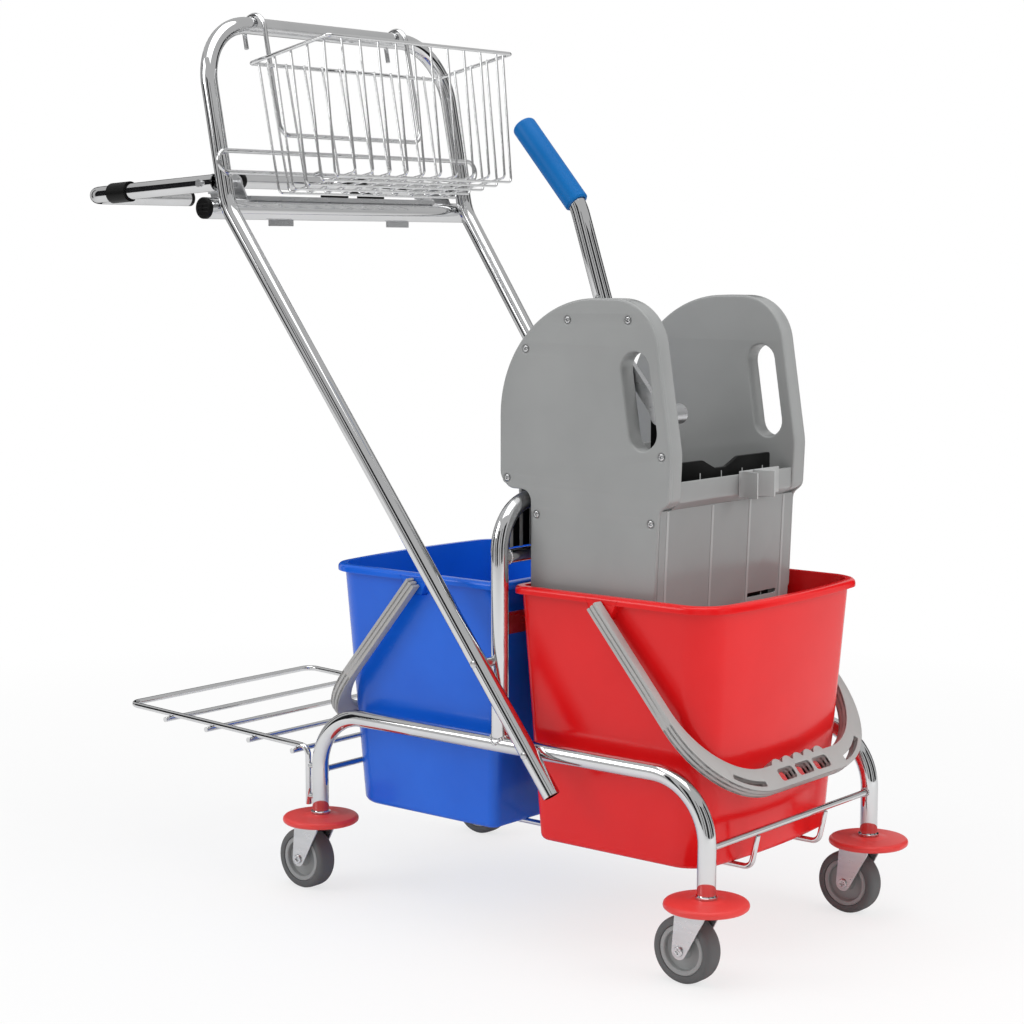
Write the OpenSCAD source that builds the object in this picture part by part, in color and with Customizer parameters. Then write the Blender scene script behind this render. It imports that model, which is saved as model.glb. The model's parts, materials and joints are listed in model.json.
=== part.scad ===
// Double mop bucket trolley with wringer, wire basket, bag holder and rear wire platform.
// Front is +X (red bucket), the near side is -Y, the floor is z = 0.

/* [Chassis] */
// Distance between front and rear caster axes
wheelbase = 615; // [600:1:660]
// Distance between near and far caster axes
track = 360.6; // [358:0.2:380]
// Outer diameter of the main tubes
tube_d = 22; // [20:0.5:24]
// Wall of the main tubes
tube_wall = 1.5; // [1:0.1:2.5]
// Height of the side tubes' centre line
side_z = 240; // [232:1:246]
// Bend radius where a side tube turns down into a leg
side_bend = 75; // [60:1:80]
// Diameter of the cross rods between the legs
rod_d = 8; // [6:0.5:9]
// Height of the cross rods
rod_z = 161; // [155:1:164]
// Diameter of the cradle wires that carry the buckets
cradle_d = 7; // [5:0.5:8]
// Height of the cradle wires' centre line under the buckets
cradle_z = 116; // [112:1:120]
// Distance of each cradle wire from the middle
cradle_y = 75; // [60:1:90]

/* [Casters] */
// Wheel diameter
wheel_d = 80; // [76:1:82]
// Tyre width
tyre_w = 24; // [20:1:26]
// Diameter where the tyre meets the hub
hub_d = 60; // [54:1:64]
// Distance of the axle behind the swivel axis
trail = 26; // [20:1:30]
// Axle diameter
axle_d = 8; // [6:0.5:10]
// Swivel stem diameter
stem_d = 11; // [9:0.5:13]
// Length of the stem inside the leg
stem_len = 45; // [30:1:55]
// Fork sheet thickness
fork_t = 2.5; // [2:0.1:3.5]
// Room between the wheel's hub and each fork side
fork_room = 0.6; // [0.4:0.1:1.5]
// Bumper disc diameter
bumper_d = 100; // [90:1:110]
// Bumper disc thickness
bumper_t = 12; // [10:0.5:14]
// Height of the bumper's top
bumper_top = 104; // [102:0.5:108]

/* [Wringer arch] */
// Height of the arch bar's centre line above the buckets' rims
arch_rise = 101.2; // [90:0.2:124]
// Bend radius of the arch
arch_bend = 60; // [50:1:75]
// Diameter of the lower cross bar
lower_bar_d = 18; // [14:0.5:20]
// Distance of the lower cross bar below the arch bar
lower_bar_drop = 67; // [60:1:75]
// Height of the strap between the buckets
strap_h = 27; // [20:1:32]
// Thickness of the strap
strap_t = 3; // [2:0.1:4]
// Depth of the strap's lower edge below the buckets' rims
strap_drop = 61.8; // [50:0.2:76]

/* [Handle] */
// Front end of each lower handle leg, along X
handle_foot_x = 98; // [90:1:110]
// Height of the handle's open lower ends
handle_foot_z = 194; // [185:1:205]
// Handle leg's distance from the middle where it crosses the side tube, beyond touching it
handle_side_gap = 0.6; // [0.4:0.1:2]
// Sideways splay of each lower handle leg, in degrees
handle_splay = 2.7; // [2:0.1:3.5]
// Lean of the lower handle legs from upright, in degrees
handle_lean_low = 35.92; // [34:0.02:38]
// Lean of the upper handle legs from upright, in degrees
handle_lean_high = 11.3; // [8:0.1:14]
// Height of the bend between the lower and upper legs
handle_knee_z = 896; // [880:1:910]
// Height of the top bar's centre line
handle_top_z = 1134; // [1110:1:1160]
// Bend radius at the knee
handle_knee_bend = 70; // [50:1:90]
// Bend radius at the top corners
handle_top_bend = 85; // [70:1:100]
// Diameter of the spacers bolted between handle and chassis
handle_bolt_d = 12; // [9:0.5:14]
// Height of the upper handle bolts
handle_bolt_z = 343; // [335:1:352]

/* [Rear platform] */
// Wire diameter of the platform frame
platform_d = 8; // [6:0.5:9]
// Wire diameter of the platform's cross wires
platform_wire_d = 7; // [5:0.5:8]
// Gap between each rear leg and the platform's upright
platform_stand = 7; // [5:0.5:10]
// Length of the platform behind its uprights
platform_len = 354; // [320:1:360]
// Height of the platform at its uprights
platform_z = 189; // [180:1:200]
// Rise of the platform from the uprights to its end
platform_rise = 12; // [0:1:20]
// Bottom of the platform's uprights above the bumpers
platform_foot = 8; // [5:1:14]
// Number of cross wires
platform_wires_n = 4; // [3:1:6]
// Distance between cross wires
platform_pitch = 83; // [60:1:85]
// Distance of the first cross wire behind the uprights
platform_first = 21; // [16:1:30]
// Length of each cross wire past the frame
platform_stub = 6; // [4:0.5:12]

/* [Bag holder] */
// Rail diameter
rail_d = 28; // [25:0.5:30]
// Rail wall
rail_wall = 1.5; // [1:0.1:2.5]
// Length of the rail beyond the axes of the handle legs, at each end
rail_over = 16.2; // [11:0.2:22]
// Distance of the rail's axis below the knee of the handle
rail_drop = 2; // [0:0.5:4]
// Thickness of the end plugs
plug_t = 6; // [3:0.5:8]
// Height of the arm pivots above the rail's axis
arm_pivot_rise = 32; // [31:0.5:38]
// Distance of the arm pivots behind the rail's axis
arm_pivot_back = 16; // [14:0.5:22]
// Pivot pin diameter of the arms
arm_pin_d = 10; // [8:0.5:11]
// Reach of the arms behind their pivots
arm_reach = 236; // [210:1:240]
// Gap between the two arms' free ends
arm_mouth = 108; // [90:1:130]
// Bend radius of the arms
arm_bend = 32; // [28:1:40]
// Droop of the near arm at rest, in degrees
arm_droop_near = 3; // [0:0.2:4]
// Rise of the far arm at rest, in degrees
arm_rise_far = 3.6; // [0:0.2:5]
// Length of the black bag clips
bag_clip_len = 36; // [25:1:45]
// Wall of the bag clips
bag_clip_wall = 2.5; // [2:0.1:4]
// Thickness of the brackets' sheet
bracket_t = 3; // [2:0.1:4]
// Inside width of each bracket
bracket_w = 34; // [25:1:40]

/* [Buckets] */
// Height of each bucket without the seat
bucket_h = 316; // [300:1:325]
// Half width of the wall at the top
bucket_top_hw = 163; // [154:0.5:166]
// Half width of the wall at the bottom
bucket_bottom_hw = 150; // [130:0.5:153]
// Distance of the inner end wall from the arch's plane, at the top
bucket_top_in = 14; // [13:0.5:28]
// Distance of the inner end wall from the arch's plane, at the bottom
bucket_bottom_in = 34; // [32:0.5:40]
// Distance of the outer end's corners from the arch's plane, at the top
bucket_top_out = 294; // [262:0.5:297]
// Distance of the outer end's corners from the arch's plane, at the bottom
bucket_bottom_out = 272; // [245:0.5:275]
// Bow of the outer end
bucket_bow = 15; // [10:0.5:30]
// Corner radius at the inner end
bucket_r_in = 14; // [13:0.5:35]
// Corner radius at the outer end
bucket_r_out = 35; // [30:0.5:70]
// Wall thickness
bucket_wall = 3; // [2:0.1:4]
// Size of the slope round the bucket's foot
bucket_foot = 8; // [4:0.5:10]
// Width of the rim flange
rim_w = 9; // [7:0.5:9.5]
// Depth of the rim's turned down edge
rim_drop = 9; // [8:0.5:14]
// Thickness of the rim
rim_t = 4; // [2.5:0.1:5]
// Distance of the bail pins from the arch's plane
bail_x = 148; // [135:1:155]
// Depth of the bail pins below the rim
bail_drop = 16; // [15:0.5:26]
// Diameter of the bail pins
bail_pin_d = 10; // [7:0.5:10]
// Length of the bail pins inside the bail's arms
bail_pin_len = 8; // [5:0.5:8]
// Width of the bail's arms along Y
bail_arm_w = 12; // [10:0.5:13]
// Thickness of the bail
bail_t = 16; // [14:0.5:18]
// Length of the bail from its pins to its outer edge
bail_len = 276; // [270:1:290]
// Outer corner radius of the bail
bail_corner = 113; // [110:1:140]
// Depth of the bail's grip
bail_grip_w = 30; // [24:1:36]
// Width of each opening in the grip
grip_hole_w = 32; // [16:1:36]
// Height of the hanging bail's outer edge above the cross rods
bail_gap = 49.2; // [26:0.1:60]

/* [Wringer] */
// Half width over the cheeks
cheek_y = 146; // [140:0.5:150]
// Thickness of a cheek
cheek_t = 26; // [22:0.5:28]
// Gap between the arch bar's top and the cheeks
cheek_gap = 8; // [6:0.5:12]
// Height of the cheeks above the arch bar's top
cheek_rise = 236; // [225:1:250]
// Radius of the cheeks' round back
cheek_back_r = 144.5; // [140:0.5:150]
// Corner radius at the front of the cheeks' tops
cheek_front_r = 62; // [50:1:70]
// Depth of the cheeks below the arch bar's top
cheek_drop = 133; // [125:1:140]
// Width of the hand slots
slot_w = 40; // [32:1:42]
// Straight length of the hand slots
slot_len = 76; // [60:1:80]
// Wall of the tub
tub_wall = 3; // [2:0.1:4]
// Front face of the tub
tub_front = 206; // [200:1:210]
// Rear face of the tub's lower body
tub_back = 40; // [38:1:46]
// Depth of the tub below the arch bar's top
tub_drop = 228; // [215:1:235]
// Reach of the front lip past the tub
lip_out = 17; // [12:0.5:20]
// Height of the front lip above the step
lip_h = 33.5; // [28:0.5:42]
// Diameter of the lever's shaft
shaft_d = 14; // [12:0.5:16]
// Depth of the shaft's bearings in the cheeks
bearing_depth = 9; // [6:0.5:12]
// Distance of the shaft below the cheeks' top
shaft_drop = 34; // [30:1:40]
// Distance of the shaft in front of the arch's plane
shaft_x = 105; // [98:1:112]
// Length of the cranks
crank_len = 133; // [125:1:136]
// Angle of the cranks from straight down, in degrees
crank_angle = 39.8; // [38:0.2:42]
// Diameter of the roller
roller_d = 24; // [16:0.5:26]
// Thickness of a crank
crank_t = 8; // [6:0.5:10]
// Length of the lever's hub along its shaft
lever_hub_len = 20; // [14:0.5:22]
// Length of the roller
roller_len = 34.5; // [28:0.5:40]
// Height of the plate's hinge above the tub's bottom
hinge_up = 22; // [18:1:28]
// Diameter of the plate's hinge pin
hinge_d = 8; // [6:0.5:9]
// Length of the press plate above its hinge
press_len = 248; // [230:1:252]
// Thickness of the press plate
press_t = 6; // [4:0.5:7]
// Half width of the press plate
press_hw = 108; // [100:1:112]
// Gap between roller and push arms at rest
push_gap = 1.6; // [1.4:0.1:2.5]
// Gap between the crank and the near cheek
lever_gap = 1.9; // [1:0.1:4]
// Lean of the lever's lower part, in degrees
lever_lean = 18.6; // [16:0.2:22]
// Length of the lever's lower part
lever_len = 152; // [140:1:170]
// Lean of the lever's grip end, in degrees
grip_lean = 41.3; // [38:0.2:45]
// Diameter of the grip
grip_d = 30; // [27:0.5:34]
// Length of the grip
grip_len = 128; // [110:1:140]
// Inside diameter of the tool clip
clip_d = 24; // [20:0.5:26]
// Wall of the tool clip
clip_wall = 3; // [2:0.1:4]
// Height of the tool clip
clip_h = 32; // [24:1:34]
// Offset of the tool clip from the middle
clip_y = 18; // [0:1:40]

/* [Basket] */
// Wire diameter of the rim
rim_wire_d = 5; // [4:0.5:6]
// Wire diameter of the panels
panel_wire_d = 3.2; // [2.5:0.1:4]
// Half width at the rim
basket_hw = 181; // [170:1:186]
// Half width at the floor
basket_floor_hw = 176; // [166:1:180]
// Depth at the rim
basket_depth = 145; // [130:1:155]
// Depth at the floor
basket_floor_depth = 127; // [115:1:130]
// Height of the basket
basket_h = 168; // [150:1:172]
// Tilt of the basket, in degrees
basket_tilt = 11.3; // [10:0.1:12]
// Distance of the basket's back in front of the upper handle legs' axis plane
basket_stand = 25; // [22:0.5:30]
// Depth of the rim below the top bar, along the legs
basket_hang = 59; // [52:1:66]
// Number of wires in the front and rear panels
basket_wires_n = 10; // [8:1:12]
// Number of wires in each side panel
side_wires_n = 5; // [4:1:6]
// Wire diameter of the hanger and the spacer
hanger_d = 6; // [5:0.5:7]
// Half distance between the hooks
hook_hw = 138; // [120:1:144]
// Length of the hanger's legs below the top bar
hanger_len = 150; // [140:1:160]
// Half length of the spacer loop
spacer_hw = 255; // [250:1:258]
// Height of the spacer loop
spacer_h = 28; // [22:1:32]

/* [Fits] */
// Radial clearance of running fits
run_clear = 0.05; // [0.03:0.01:0.08]
// Clearance between parts that rest on each other
seat_clear = 0.3; // [0.2:0.05:0.5]
// Clearance left at welds and glued joints
weld_clear = 0.1; // [0.05:0.05:0.3]

/* [Hidden] */
$fn = 48;
leg_x = wheelbase / 2;
leg_y = track / 2;
bucket_z = cradle_z + cradle_d / 2 + seat_clear;
rim_z = bucket_z + bucket_h;
arch_z = rim_z + arch_rise;
strap_z = rim_z - strap_drop;
bail_z = rim_z - bail_drop;
bail_hang = asin((bail_z - rod_z - bail_gap) / bail_len);
rim_hw = bucket_top_hw + rim_w;
bail_in_y = rim_hw + seat_clear + 1;
bar_top = arch_z + tube_d / 2;
cheek_top = bar_top + cheek_rise;
cheek_low = bar_top - cheek_drop;
cheek_in_y = cheek_y - cheek_t;
tub_y = cheek_in_y - weld_clear;
tub_z = bar_top - tub_drop;
step_z = bar_top - 10;
lip_x = tub_front + lip_out;
lip_top = step_z + lip_h;
shaft_z = cheek_top - shaft_drop;
roller_x = shaft_x + crank_len * sin(crank_angle);
roller_z = shaft_z - crank_len * cos(crank_angle);
hinge_x = roller_x;
hinge_z = tub_z + hinge_up;
push_x = roller_x - roller_d / 2 - push_gap;
lever_hub_d = shaft_d + 16;
crank_y = cheek_in_y - lever_gap - crank_t;
lever_y = crank_y - weld_clear - lever_hub_len / 2;
roller_y = crank_y - weld_clear - roller_len / 2;
plate_x = hinge_x + 3;
knee_rise = handle_knee_z - handle_foot_z;
knee_x = handle_foot_x - knee_rise * tan(handle_lean_low);
foot_y = leg_y + tube_d + handle_side_gap - (side_z - handle_foot_z) * tan(handle_splay);
knee_y = foot_y + knee_rise * tan(handle_splay);
top_x = knee_x - (handle_top_z - handle_knee_z) * tan(handle_lean_high);
rail_z = handle_knee_z - rail_drop;
rail_len = 2 * (knee_y + rail_over);
knee_mid = (handle_lean_low + handle_lean_high) / 2;
knee_far = handle_knee_bend / cos((handle_lean_low - handle_lean_high) / 2);
knee_c = [knee_x + knee_far * cos(knee_mid), handle_knee_z + knee_far * sin(knee_mid)];
rail_reach = handle_knee_bend + (tube_d + rail_d) / 2 + weld_clear;
rail_x = knee_c[0] - sqrt(rail_reach * rail_reach - (knee_c[1] - rail_z) * (knee_c[1] - rail_z));
pivot_x = rail_x - arm_pivot_back;
pivot_z = rail_z + arm_pivot_rise;
arm_y = knee_y;
eye_d = tube_d + 4;
eye_w = tube_d + 3;
bracket_y = arm_y - eye_w / 2 - seat_clear;
platform_x = -leg_x - tube_d / 2 - platform_stand - platform_d / 2;
platform_y = leg_y;
front_reach = leg_x + bumper_d / 2;
rear_reach = -pivot_x + arm_reach + tube_d / 2;
shift_x = (rear_reach - front_reach) / 2;

function unit(v) = v / norm(v);
function arc(c, r, from, to, steps) =
    [for (i = [0:steps]) c + r * [cos(from + (to - from) * i / steps), sin(from + (to - from) * i / steps)]];
function heading(path, i) = unit(path[i + 1] - path[i]);
function turn(path, i) = acos(heading(path, i - 1) * heading(path, i));
function setback(path, bends, i) =
    i == 0 || i == len(path) - 1 ? 0 : bends[i - 1] * tan(turn(path, i) / 2);

// Puts a piece drawn about the chassis centre into the part's own frame
module placed() translate([shift_x, 0, 0]) children();

// Near and far copies of a piece drawn on the near side
module both_sides() {
    children();
    mirror([0, 1, 0]) children();
}

// Front and rear copies of a piece drawn at the front
module both_ends() {
    children();
    mirror([1, 0, 0]) children();
}

// Turns a piece drawn along Z from the origin to run from a to b
module along(a, b) {
    v = b - a;
    translate(a) rotate([0, acos(v[2] / norm(v)), atan2(v[1], v[0])]) children();
}

// Straight round bar from a to b
module bar(a, b, d) along(a, b) cylinder(d = d, h = norm(b - a));

// Round bar along Y, centred on y
module cross_bar(x, y, z, d, len) translate([x, y + len / 2, z]) rotate([90, 0, 0]) cylinder(d = d, h = len);

module ring_2d(d, wall) {
    difference() {
        circle(d = d);
        if (wall > 0) circle(d = d - 2 * wall);
    }
}

// Round tube along a path with a bend of its own radius at each inner point; wall 0 makes a solid wire
module bent(path, bends, d, wall = 0) {
    last = len(path) - 1;
    for (i = [0:last - 1]) {
        a = path[i] + heading(path, i) * setback(path, bends, i);
        b = path[i + 1] - heading(path, i) * setback(path, bends, i + 1);
        along(a, b) linear_extrude(norm(b - a)) ring_2d(d, wall);
    }
    for (i = [1:last - 1]) elbow(path, bends, i, d, wall);
}

module elbow(path, bends, i, d, wall) {
    u = heading(path, i - 1);
    w = heading(path, i);
    m = unit(w - (w * u) * u);
    k = cross(-m, u);
    c = path[i] - u * setback(path, bends, i) + m * bends[i - 1];
    multmatrix([[-m[0], u[0], k[0], c[0]], [-m[1], u[1], k[1], c[1]],
            [-m[2], u[2], k[2], c[2]], [0, 0, 0, 1]])
        rotate_extrude(angle = turn(path, i)) translate([bends[i - 1], 0]) ring_2d(d, wall);
}

// Points of a path with its bends rounded off in short steps
function elbow_points(path, bends, i) =
    let (u = heading(path, i - 1), w = heading(path, i), m = unit(w - (w * u) * u), r = bends[i - 1],
        c = path[i] - u * setback(path, bends, i) + m * r, steps = ceil(turn(path, i) / 15))
    [for (j = [0:steps]) let (a = turn(path, i) * j / steps) c + r * (u * sin(a) - m * cos(a))];
function rounded(path, bends) =
    concat([path[0]], [for (i = [1:len(path) - 2]) each elbow_points(path, bends, i)], [path[len(path) - 1]]);
// Mean heading at each point of a route, and a side direction carried along it without twist
function headings(route) = [for (i = [0:len(route) - 1]) unit(
    (i > 0 ? heading(route, i - 1) : [0, 0, 0]) + (i < len(route) - 1 ? heading(route, i) : [0, 0, 0]))];
function carried(dirs, side, i = 0) = i == len(dirs) ? []
    : let (k = unit(side - (side * dirs[i]) * dirs[i])) concat([k], carried(dirs, k, i + 1));
// Rings of points round a route
function rings(route, d, sides, side) =
    let (dirs = headings(route), ks = carried(dirs, side))
    [for (i = [0:len(route) - 1], j = [0:sides - 1])
        let (a = 360 * j / sides) route[i] + d / 2 * (ks[i] * cos(a) + cross(dirs[i], ks[i]) * sin(a))];
// Triangles between the rings, wound outwards or, with flip, inwards
function wall_faces(count, sides, from, flip) = [for (i = [0:count - 2], j = [0:sides - 1])
    let (a = from + i * sides + j, b = from + i * sides + (j + 1) % sides, c = a + sides, e = b + sides)
    each flip ? [[a, b, e], [a, e, c]] : [[a, e, b], [a, c, e]]];
function end_faces(at, inner, sides, flip) = [for (j = [0:sides - 1])
    let (a = at + j, b = at + (j + 1) % sides, c = inner + j, e = inner + (j + 1) % sides)
    each flip ? [[a, e, b], [a, c, e]] : [[a, b, e], [a, e, c]]];

// One unbroken wire or tube swept along a path with rounded bends; wall 0 makes a solid wire
module swept(path, bends, d, side, sides, wall = 0) {
    route = rounded(path, bends);
    n = len(route);
    outer = rings(route, d, sides, side);
    if (wall == 0) {
        first = [for (j = [0:sides - 1]) j];
        last = [for (j = [sides - 1:-1:0]) (n - 1) * sides + j];
        polyhedron(outer, concat(wall_faces(n, sides, 0, false), [first, last]));
    } else {
        inner = rings(route, d - 2 * wall, sides, side);
        hole = n * sides;
        end = (n - 1) * sides;
        walls = concat(wall_faces(n, sides, 0, false), wall_faces(n, sides, hole, true));
        ends = concat(end_faces(0, hole, sides, false), end_faces(end, hole + end, sides, true));
        polyhedron(concat(outer, inner), concat(walls, ends));
    }
}

// Solid tubes that other pieces are cut to fit
module side_tube_room(y) bar([-leg_x, y, side_z], [leg_x, y, side_z], tube_d + 2 * weld_clear);
module leg_room(x, y) bar([x, y, 0], [x, y, side_z], tube_d + 2 * weld_clear);
module post_room(y) bar([0, y, side_z], [0, y, arch_z], tube_d + 2 * weld_clear);

// Chassis
module side_tube(y) {
    color("silver") placed() bent([[-leg_x, y, bumper_top], [-leg_x, y, side_z], [leg_x, y, side_z],
        [leg_x, y, bumper_top]], [side_bend, side_bend], tube_d, tube_wall);
}
module side_tube_near() side_tube(-leg_y);
module side_tube_far() side_tube(leg_y);

module end_rods() {
    color("silver") placed() both_ends() difference() {
        cross_bar(leg_x, 0, rod_z, rod_d, track);
        leg_room(leg_x, -leg_y);
        leg_room(leg_x, leg_y);
    }
}

module cradle_wires() {
    hook_run = 9;
    hook_x = leg_x - hook_run;
    hook_top = rod_z - rod_d / 2 - cradle_d * hook_run / (rod_z - cradle_z) / 2 - weld_clear;
    hook_bend = 12;
    color("silver") placed() both_sides() swept(
        [[-leg_x, -cradle_y, hook_top], [-hook_x, -cradle_y, cradle_z], [hook_x, -cradle_y, cradle_z],
            [leg_x, -cradle_y, hook_top]], [hook_bend, hook_bend], cradle_d, [0, 1, 0], 10);
}

module wringer_arch() {
    color("silver") placed() difference() {
        bent([[0, -leg_y, side_z], [0, -leg_y, arch_z], [0, leg_y, arch_z], [0, leg_y, side_z]],
            [arch_bend, arch_bend], tube_d, tube_wall);
        side_tube_room(-leg_y);
        side_tube_room(leg_y);
    }
}

module arch_lower_bar() {
    color("silver") placed() difference() {
        cross_bar((tube_d - lower_bar_d) / 2, 0, arch_z - lower_bar_drop, lower_bar_d, track);
        post_room(-leg_y);
        post_room(leg_y);
    }
}

module bucket_strap() {
    color("silver") placed() difference() {
        translate([-strap_t / 2, -leg_y, strap_z]) cube([strap_t, track, strap_h]);
        post_room(-leg_y);
        post_room(leg_y);
    }
}

// Handle
function handle_path() = [[handle_foot_x, -foot_y, handle_foot_z], [knee_x, -knee_y, handle_knee_z],
    [top_x, -knee_y, handle_top_z], [top_x, knee_y, handle_top_z], [knee_x, knee_y, handle_knee_z],
    [handle_foot_x, foot_y, handle_foot_z]];
function handle_at(z) = handle_path()[0]
    + (handle_path()[1] - handle_path()[0]) * (z - handle_foot_z) / knee_rise;

module handle_frame() {
    bends = [handle_knee_bend, handle_top_bend, handle_top_bend, handle_knee_bend];
    color("silver") placed() swept(handle_path(), bends, tube_d, [0, 1, 0], 16, tube_wall);
}

module handle_leg_room() bar(handle_path()[0], handle_path()[1], tube_d + 2 * weld_clear);

// Spacers between each handle leg and the arch post and side tube, with round bolt heads outside
module handle_bolts() {
    high = handle_at(handle_bolt_z);
    low = handle_at(side_z);
    head_y = tube_d / 2 + weld_clear + 2.5;
    color("gainsboro") placed() both_sides() {
        difference() {
            bar([high[0] / 2, high[1], high[2]], [high[0] / 2, -leg_y, high[2]], handle_bolt_d);
            handle_leg_room();
            post_room(-leg_y);
        }
        difference() {
            bar(low, [low[0], -leg_y, low[2]], handle_bolt_d);
            handle_leg_room();
            side_tube_room(-leg_y);
        }
        difference() {
            bar([high[0], high[1] - head_y, high[2]], [high[0], high[1], high[2]], handle_bolt_d);
            handle_leg_room();
        }
        difference() {
            bar([low[0], low[1] - head_y, low[2]], low, handle_bolt_d);
            handle_leg_room();
        }
    }
}

// Rear platform
platform_end = [platform_x - platform_len, -platform_y, platform_z + platform_rise];
function platform_height(back) = platform_z + platform_rise * back / platform_len;

module platform_frame() {
    foot = bumper_top + platform_foot;
    head_bend = 12;
    end_bend = 16;
    color("silver") placed() swept(
        [[platform_x, -platform_y, foot], [platform_x, -platform_y, platform_z], platform_end,
            [platform_end[0], platform_y, platform_end[2]], [platform_x, platform_y, platform_z],
            [platform_x, platform_y, foot]],
        [head_bend, end_bend, end_bend, head_bend], platform_d, [0, 1, 0], 10);
}

module platform_wires() {
    color("silver") placed() for (i = [0:platform_wires_n - 1]) {
        back = platform_first + i * platform_pitch;
        z = platform_height(back) - (platform_d + platform_wire_d) / 2 - weld_clear;
        width = 2 * (platform_y + platform_d / 2 + platform_stub);
        cross_bar(platform_x - back, 0, z, platform_wire_d, width);
    }
}

module platform_bolts() {
    bolt_d = 7;
    upper_z = platform_z - 24;
    lower_z = bumper_top + platform_foot + 12;
    color("gainsboro") placed() both_sides() for (z = [upper_z, lower_z])
        difference() {
            bar([platform_x, -platform_y, z], [-leg_x, -platform_y, z], bolt_d);
            leg_room(-leg_x, -leg_y);
            bar([platform_x, -platform_y, 0], [platform_x, -platform_y, side_z],
                platform_d + 2 * weld_clear);
        }
}

// Bag holder
module rail_room() cross_bar(rail_x, 0, rail_z, rail_d + 2 * weld_clear, rail_len + 2 * plug_t);

module bag_rail() {
    color("silver") placed() translate([rail_x, rail_len / 2, rail_z]) rotate([90, 0, 0])
        linear_extrude(rail_len) ring_2d(rail_d, rail_wall);
}

module bag_rail_plugs() {
    color("black") placed() both_sides() translate([0, -rail_len / 2 - plug_t / 2, 0])
        cross_bar(rail_x, 0, rail_z, rail_d, plug_t);
}

// Folded strip on the rail, with two tabs below it
module bag_strip() {
    strip_w = 24;
    tab_y = 115;
    tab_w = 44;
    tab_h = 12;
    strip_len = 2 * (bracket_y - bracket_w - 2 * bracket_t - seat_clear);
    color("gainsboro") placed() {
        difference() {
            translate([rail_x - strip_w / 2, -strip_len / 2, rail_z + rail_d / 2 - 3])
                cube([strip_w, strip_len, 3 + bracket_t]);
            rail_room();
        }
        both_sides() difference() {
            translate([rail_x - bracket_t / 2, -tab_y - tab_w / 2, rail_z - rail_d / 2 - tab_h + 4])
                cube([bracket_t, tab_w, tab_h]);
            rail_room();
        }
    }
}

module bag_pads() {
    pad = [20, 34, 5];
    places = [-12, 60];
    color("black") placed() for (y = places)
        translate([rail_x - pad[0] / 2, y - pad[1] / 2, rail_z + rail_d / 2 + bracket_t + weld_clear])
            cube(pad);
}

// Sheet bracket on the rail with the pin that carries a bag arm
module bag_bracket() {
    color("gainsboro") placed() difference() {
        union() {
            for (y = [-bracket_y, -bracket_y + bracket_w + bracket_t]) translate([0, y + bracket_t, 0])
                rotate([90, 0, 0]) linear_extrude(bracket_t) {
                    translate([pivot_x, pivot_z]) circle(d = eye_d);
                    polygon([[pivot_x - eye_d / 2, pivot_z], [pivot_x + eye_d / 2, pivot_z],
                        [rail_x + rail_d / 2, rail_z], [rail_x - rail_d / 2, rail_z]]);
                }
            translate([pivot_x - eye_d / 2 + 2, -bracket_y, pivot_z - eye_d / 2])
                cube([bracket_t, bracket_w + 2 * bracket_t, eye_d / 2]);
            bar([pivot_x, -arm_y - eye_w / 2 - 2, pivot_z],
                [pivot_x, -bracket_y + bracket_w + 2 * bracket_t, pivot_z], arm_pin_d);
        }
        rail_room();
    }
}
module bag_bracket_near() bag_bracket();
module bag_bracket_far() mirror([0, 1, 0]) bag_bracket();

// Path of the near arm about its pivot, level
arm_path = [[-eye_d / 4, 0, 0], [-arm_reach, 0, 0], [-arm_reach, arm_y - arm_mouth / 2, 0]];

// Turns an arm drawn level about its pivot into its rest angle
module arm_rest(angle) translate([pivot_x, -arm_y, pivot_z]) rotate([0, -angle, 0]) children();

module bag_arm(angle) {
    color("silver") placed() arm_rest(angle) difference() {
        union() {
            bent(arm_path, [arm_bend], tube_d, tube_wall);
            cross_bar(0, 0, 0, eye_d, eye_w);
        }
        cross_bar(0, 0, 0, arm_pin_d + 2 * run_clear, 2 * tube_d);
    }
}
module bag_arm_near() bag_arm(arm_droop_near);
module bag_arm_far() mirror([0, 1, 0]) bag_arm(-arm_rise_far);

// End plug and bag clip of an arm
module bag_fittings(angle) {
    clip_in = tube_d + 2 * weld_clear;
    color("black") placed() arm_rest(angle) {
        translate([-arm_reach, arm_path[2][1] + plug_t / 2, 0]) cross_bar(0, 0, 0, tube_d, plug_t);
        translate([-0.78 * arm_reach, 0, 0]) rotate([0, 90, 0]) linear_extrude(bag_clip_len) difference() {
            circle(d = clip_in + 2 * bag_clip_wall);
            circle(d = clip_in);
            translate([0, 0.3 * tube_d]) square([tube_d, tube_d]);
        }
    }
}
module bag_fittings_near() bag_fittings(arm_droop_near);
module bag_fittings_far() mirror([0, 1, 0]) bag_fittings(-arm_rise_far);

// Casters
module at_caster(end, side) placed() translate([end * leg_x, side * leg_y, 0]) children();
hub_len = tyre_w + 5;
fork_in = hub_len / 2 + fork_room;
crown_z = bumper_top - bumper_t - 2 - fork_t;
bush_d = tube_d - 2 * tube_wall - 2 * weld_clear;

module bumper_rings() {
    color("red") for (end = [-1, 1], side = [-1, 1]) at_caster(end, side) rotate_extrude() {
        hole_r = stem_d / 2 + 0.6;
        edge_r = bumper_d / 2 - bumper_t / 2;
        translate([hole_r, bumper_top - bumper_t]) square([edge_r - hole_r, bumper_t]);
        translate([edge_r, bumper_top - bumper_t / 2]) circle(d = bumper_t);
    }
}

module caster_bushes() {
    color("dimgray") for (end = [-1, 1], side = [-1, 1]) at_caster(end, side)
        translate([0, 0, bumper_top]) linear_extrude(stem_len - 2)
            ring_2d(bush_d, (bush_d - stem_d) / 2 - run_clear);
}

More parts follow.
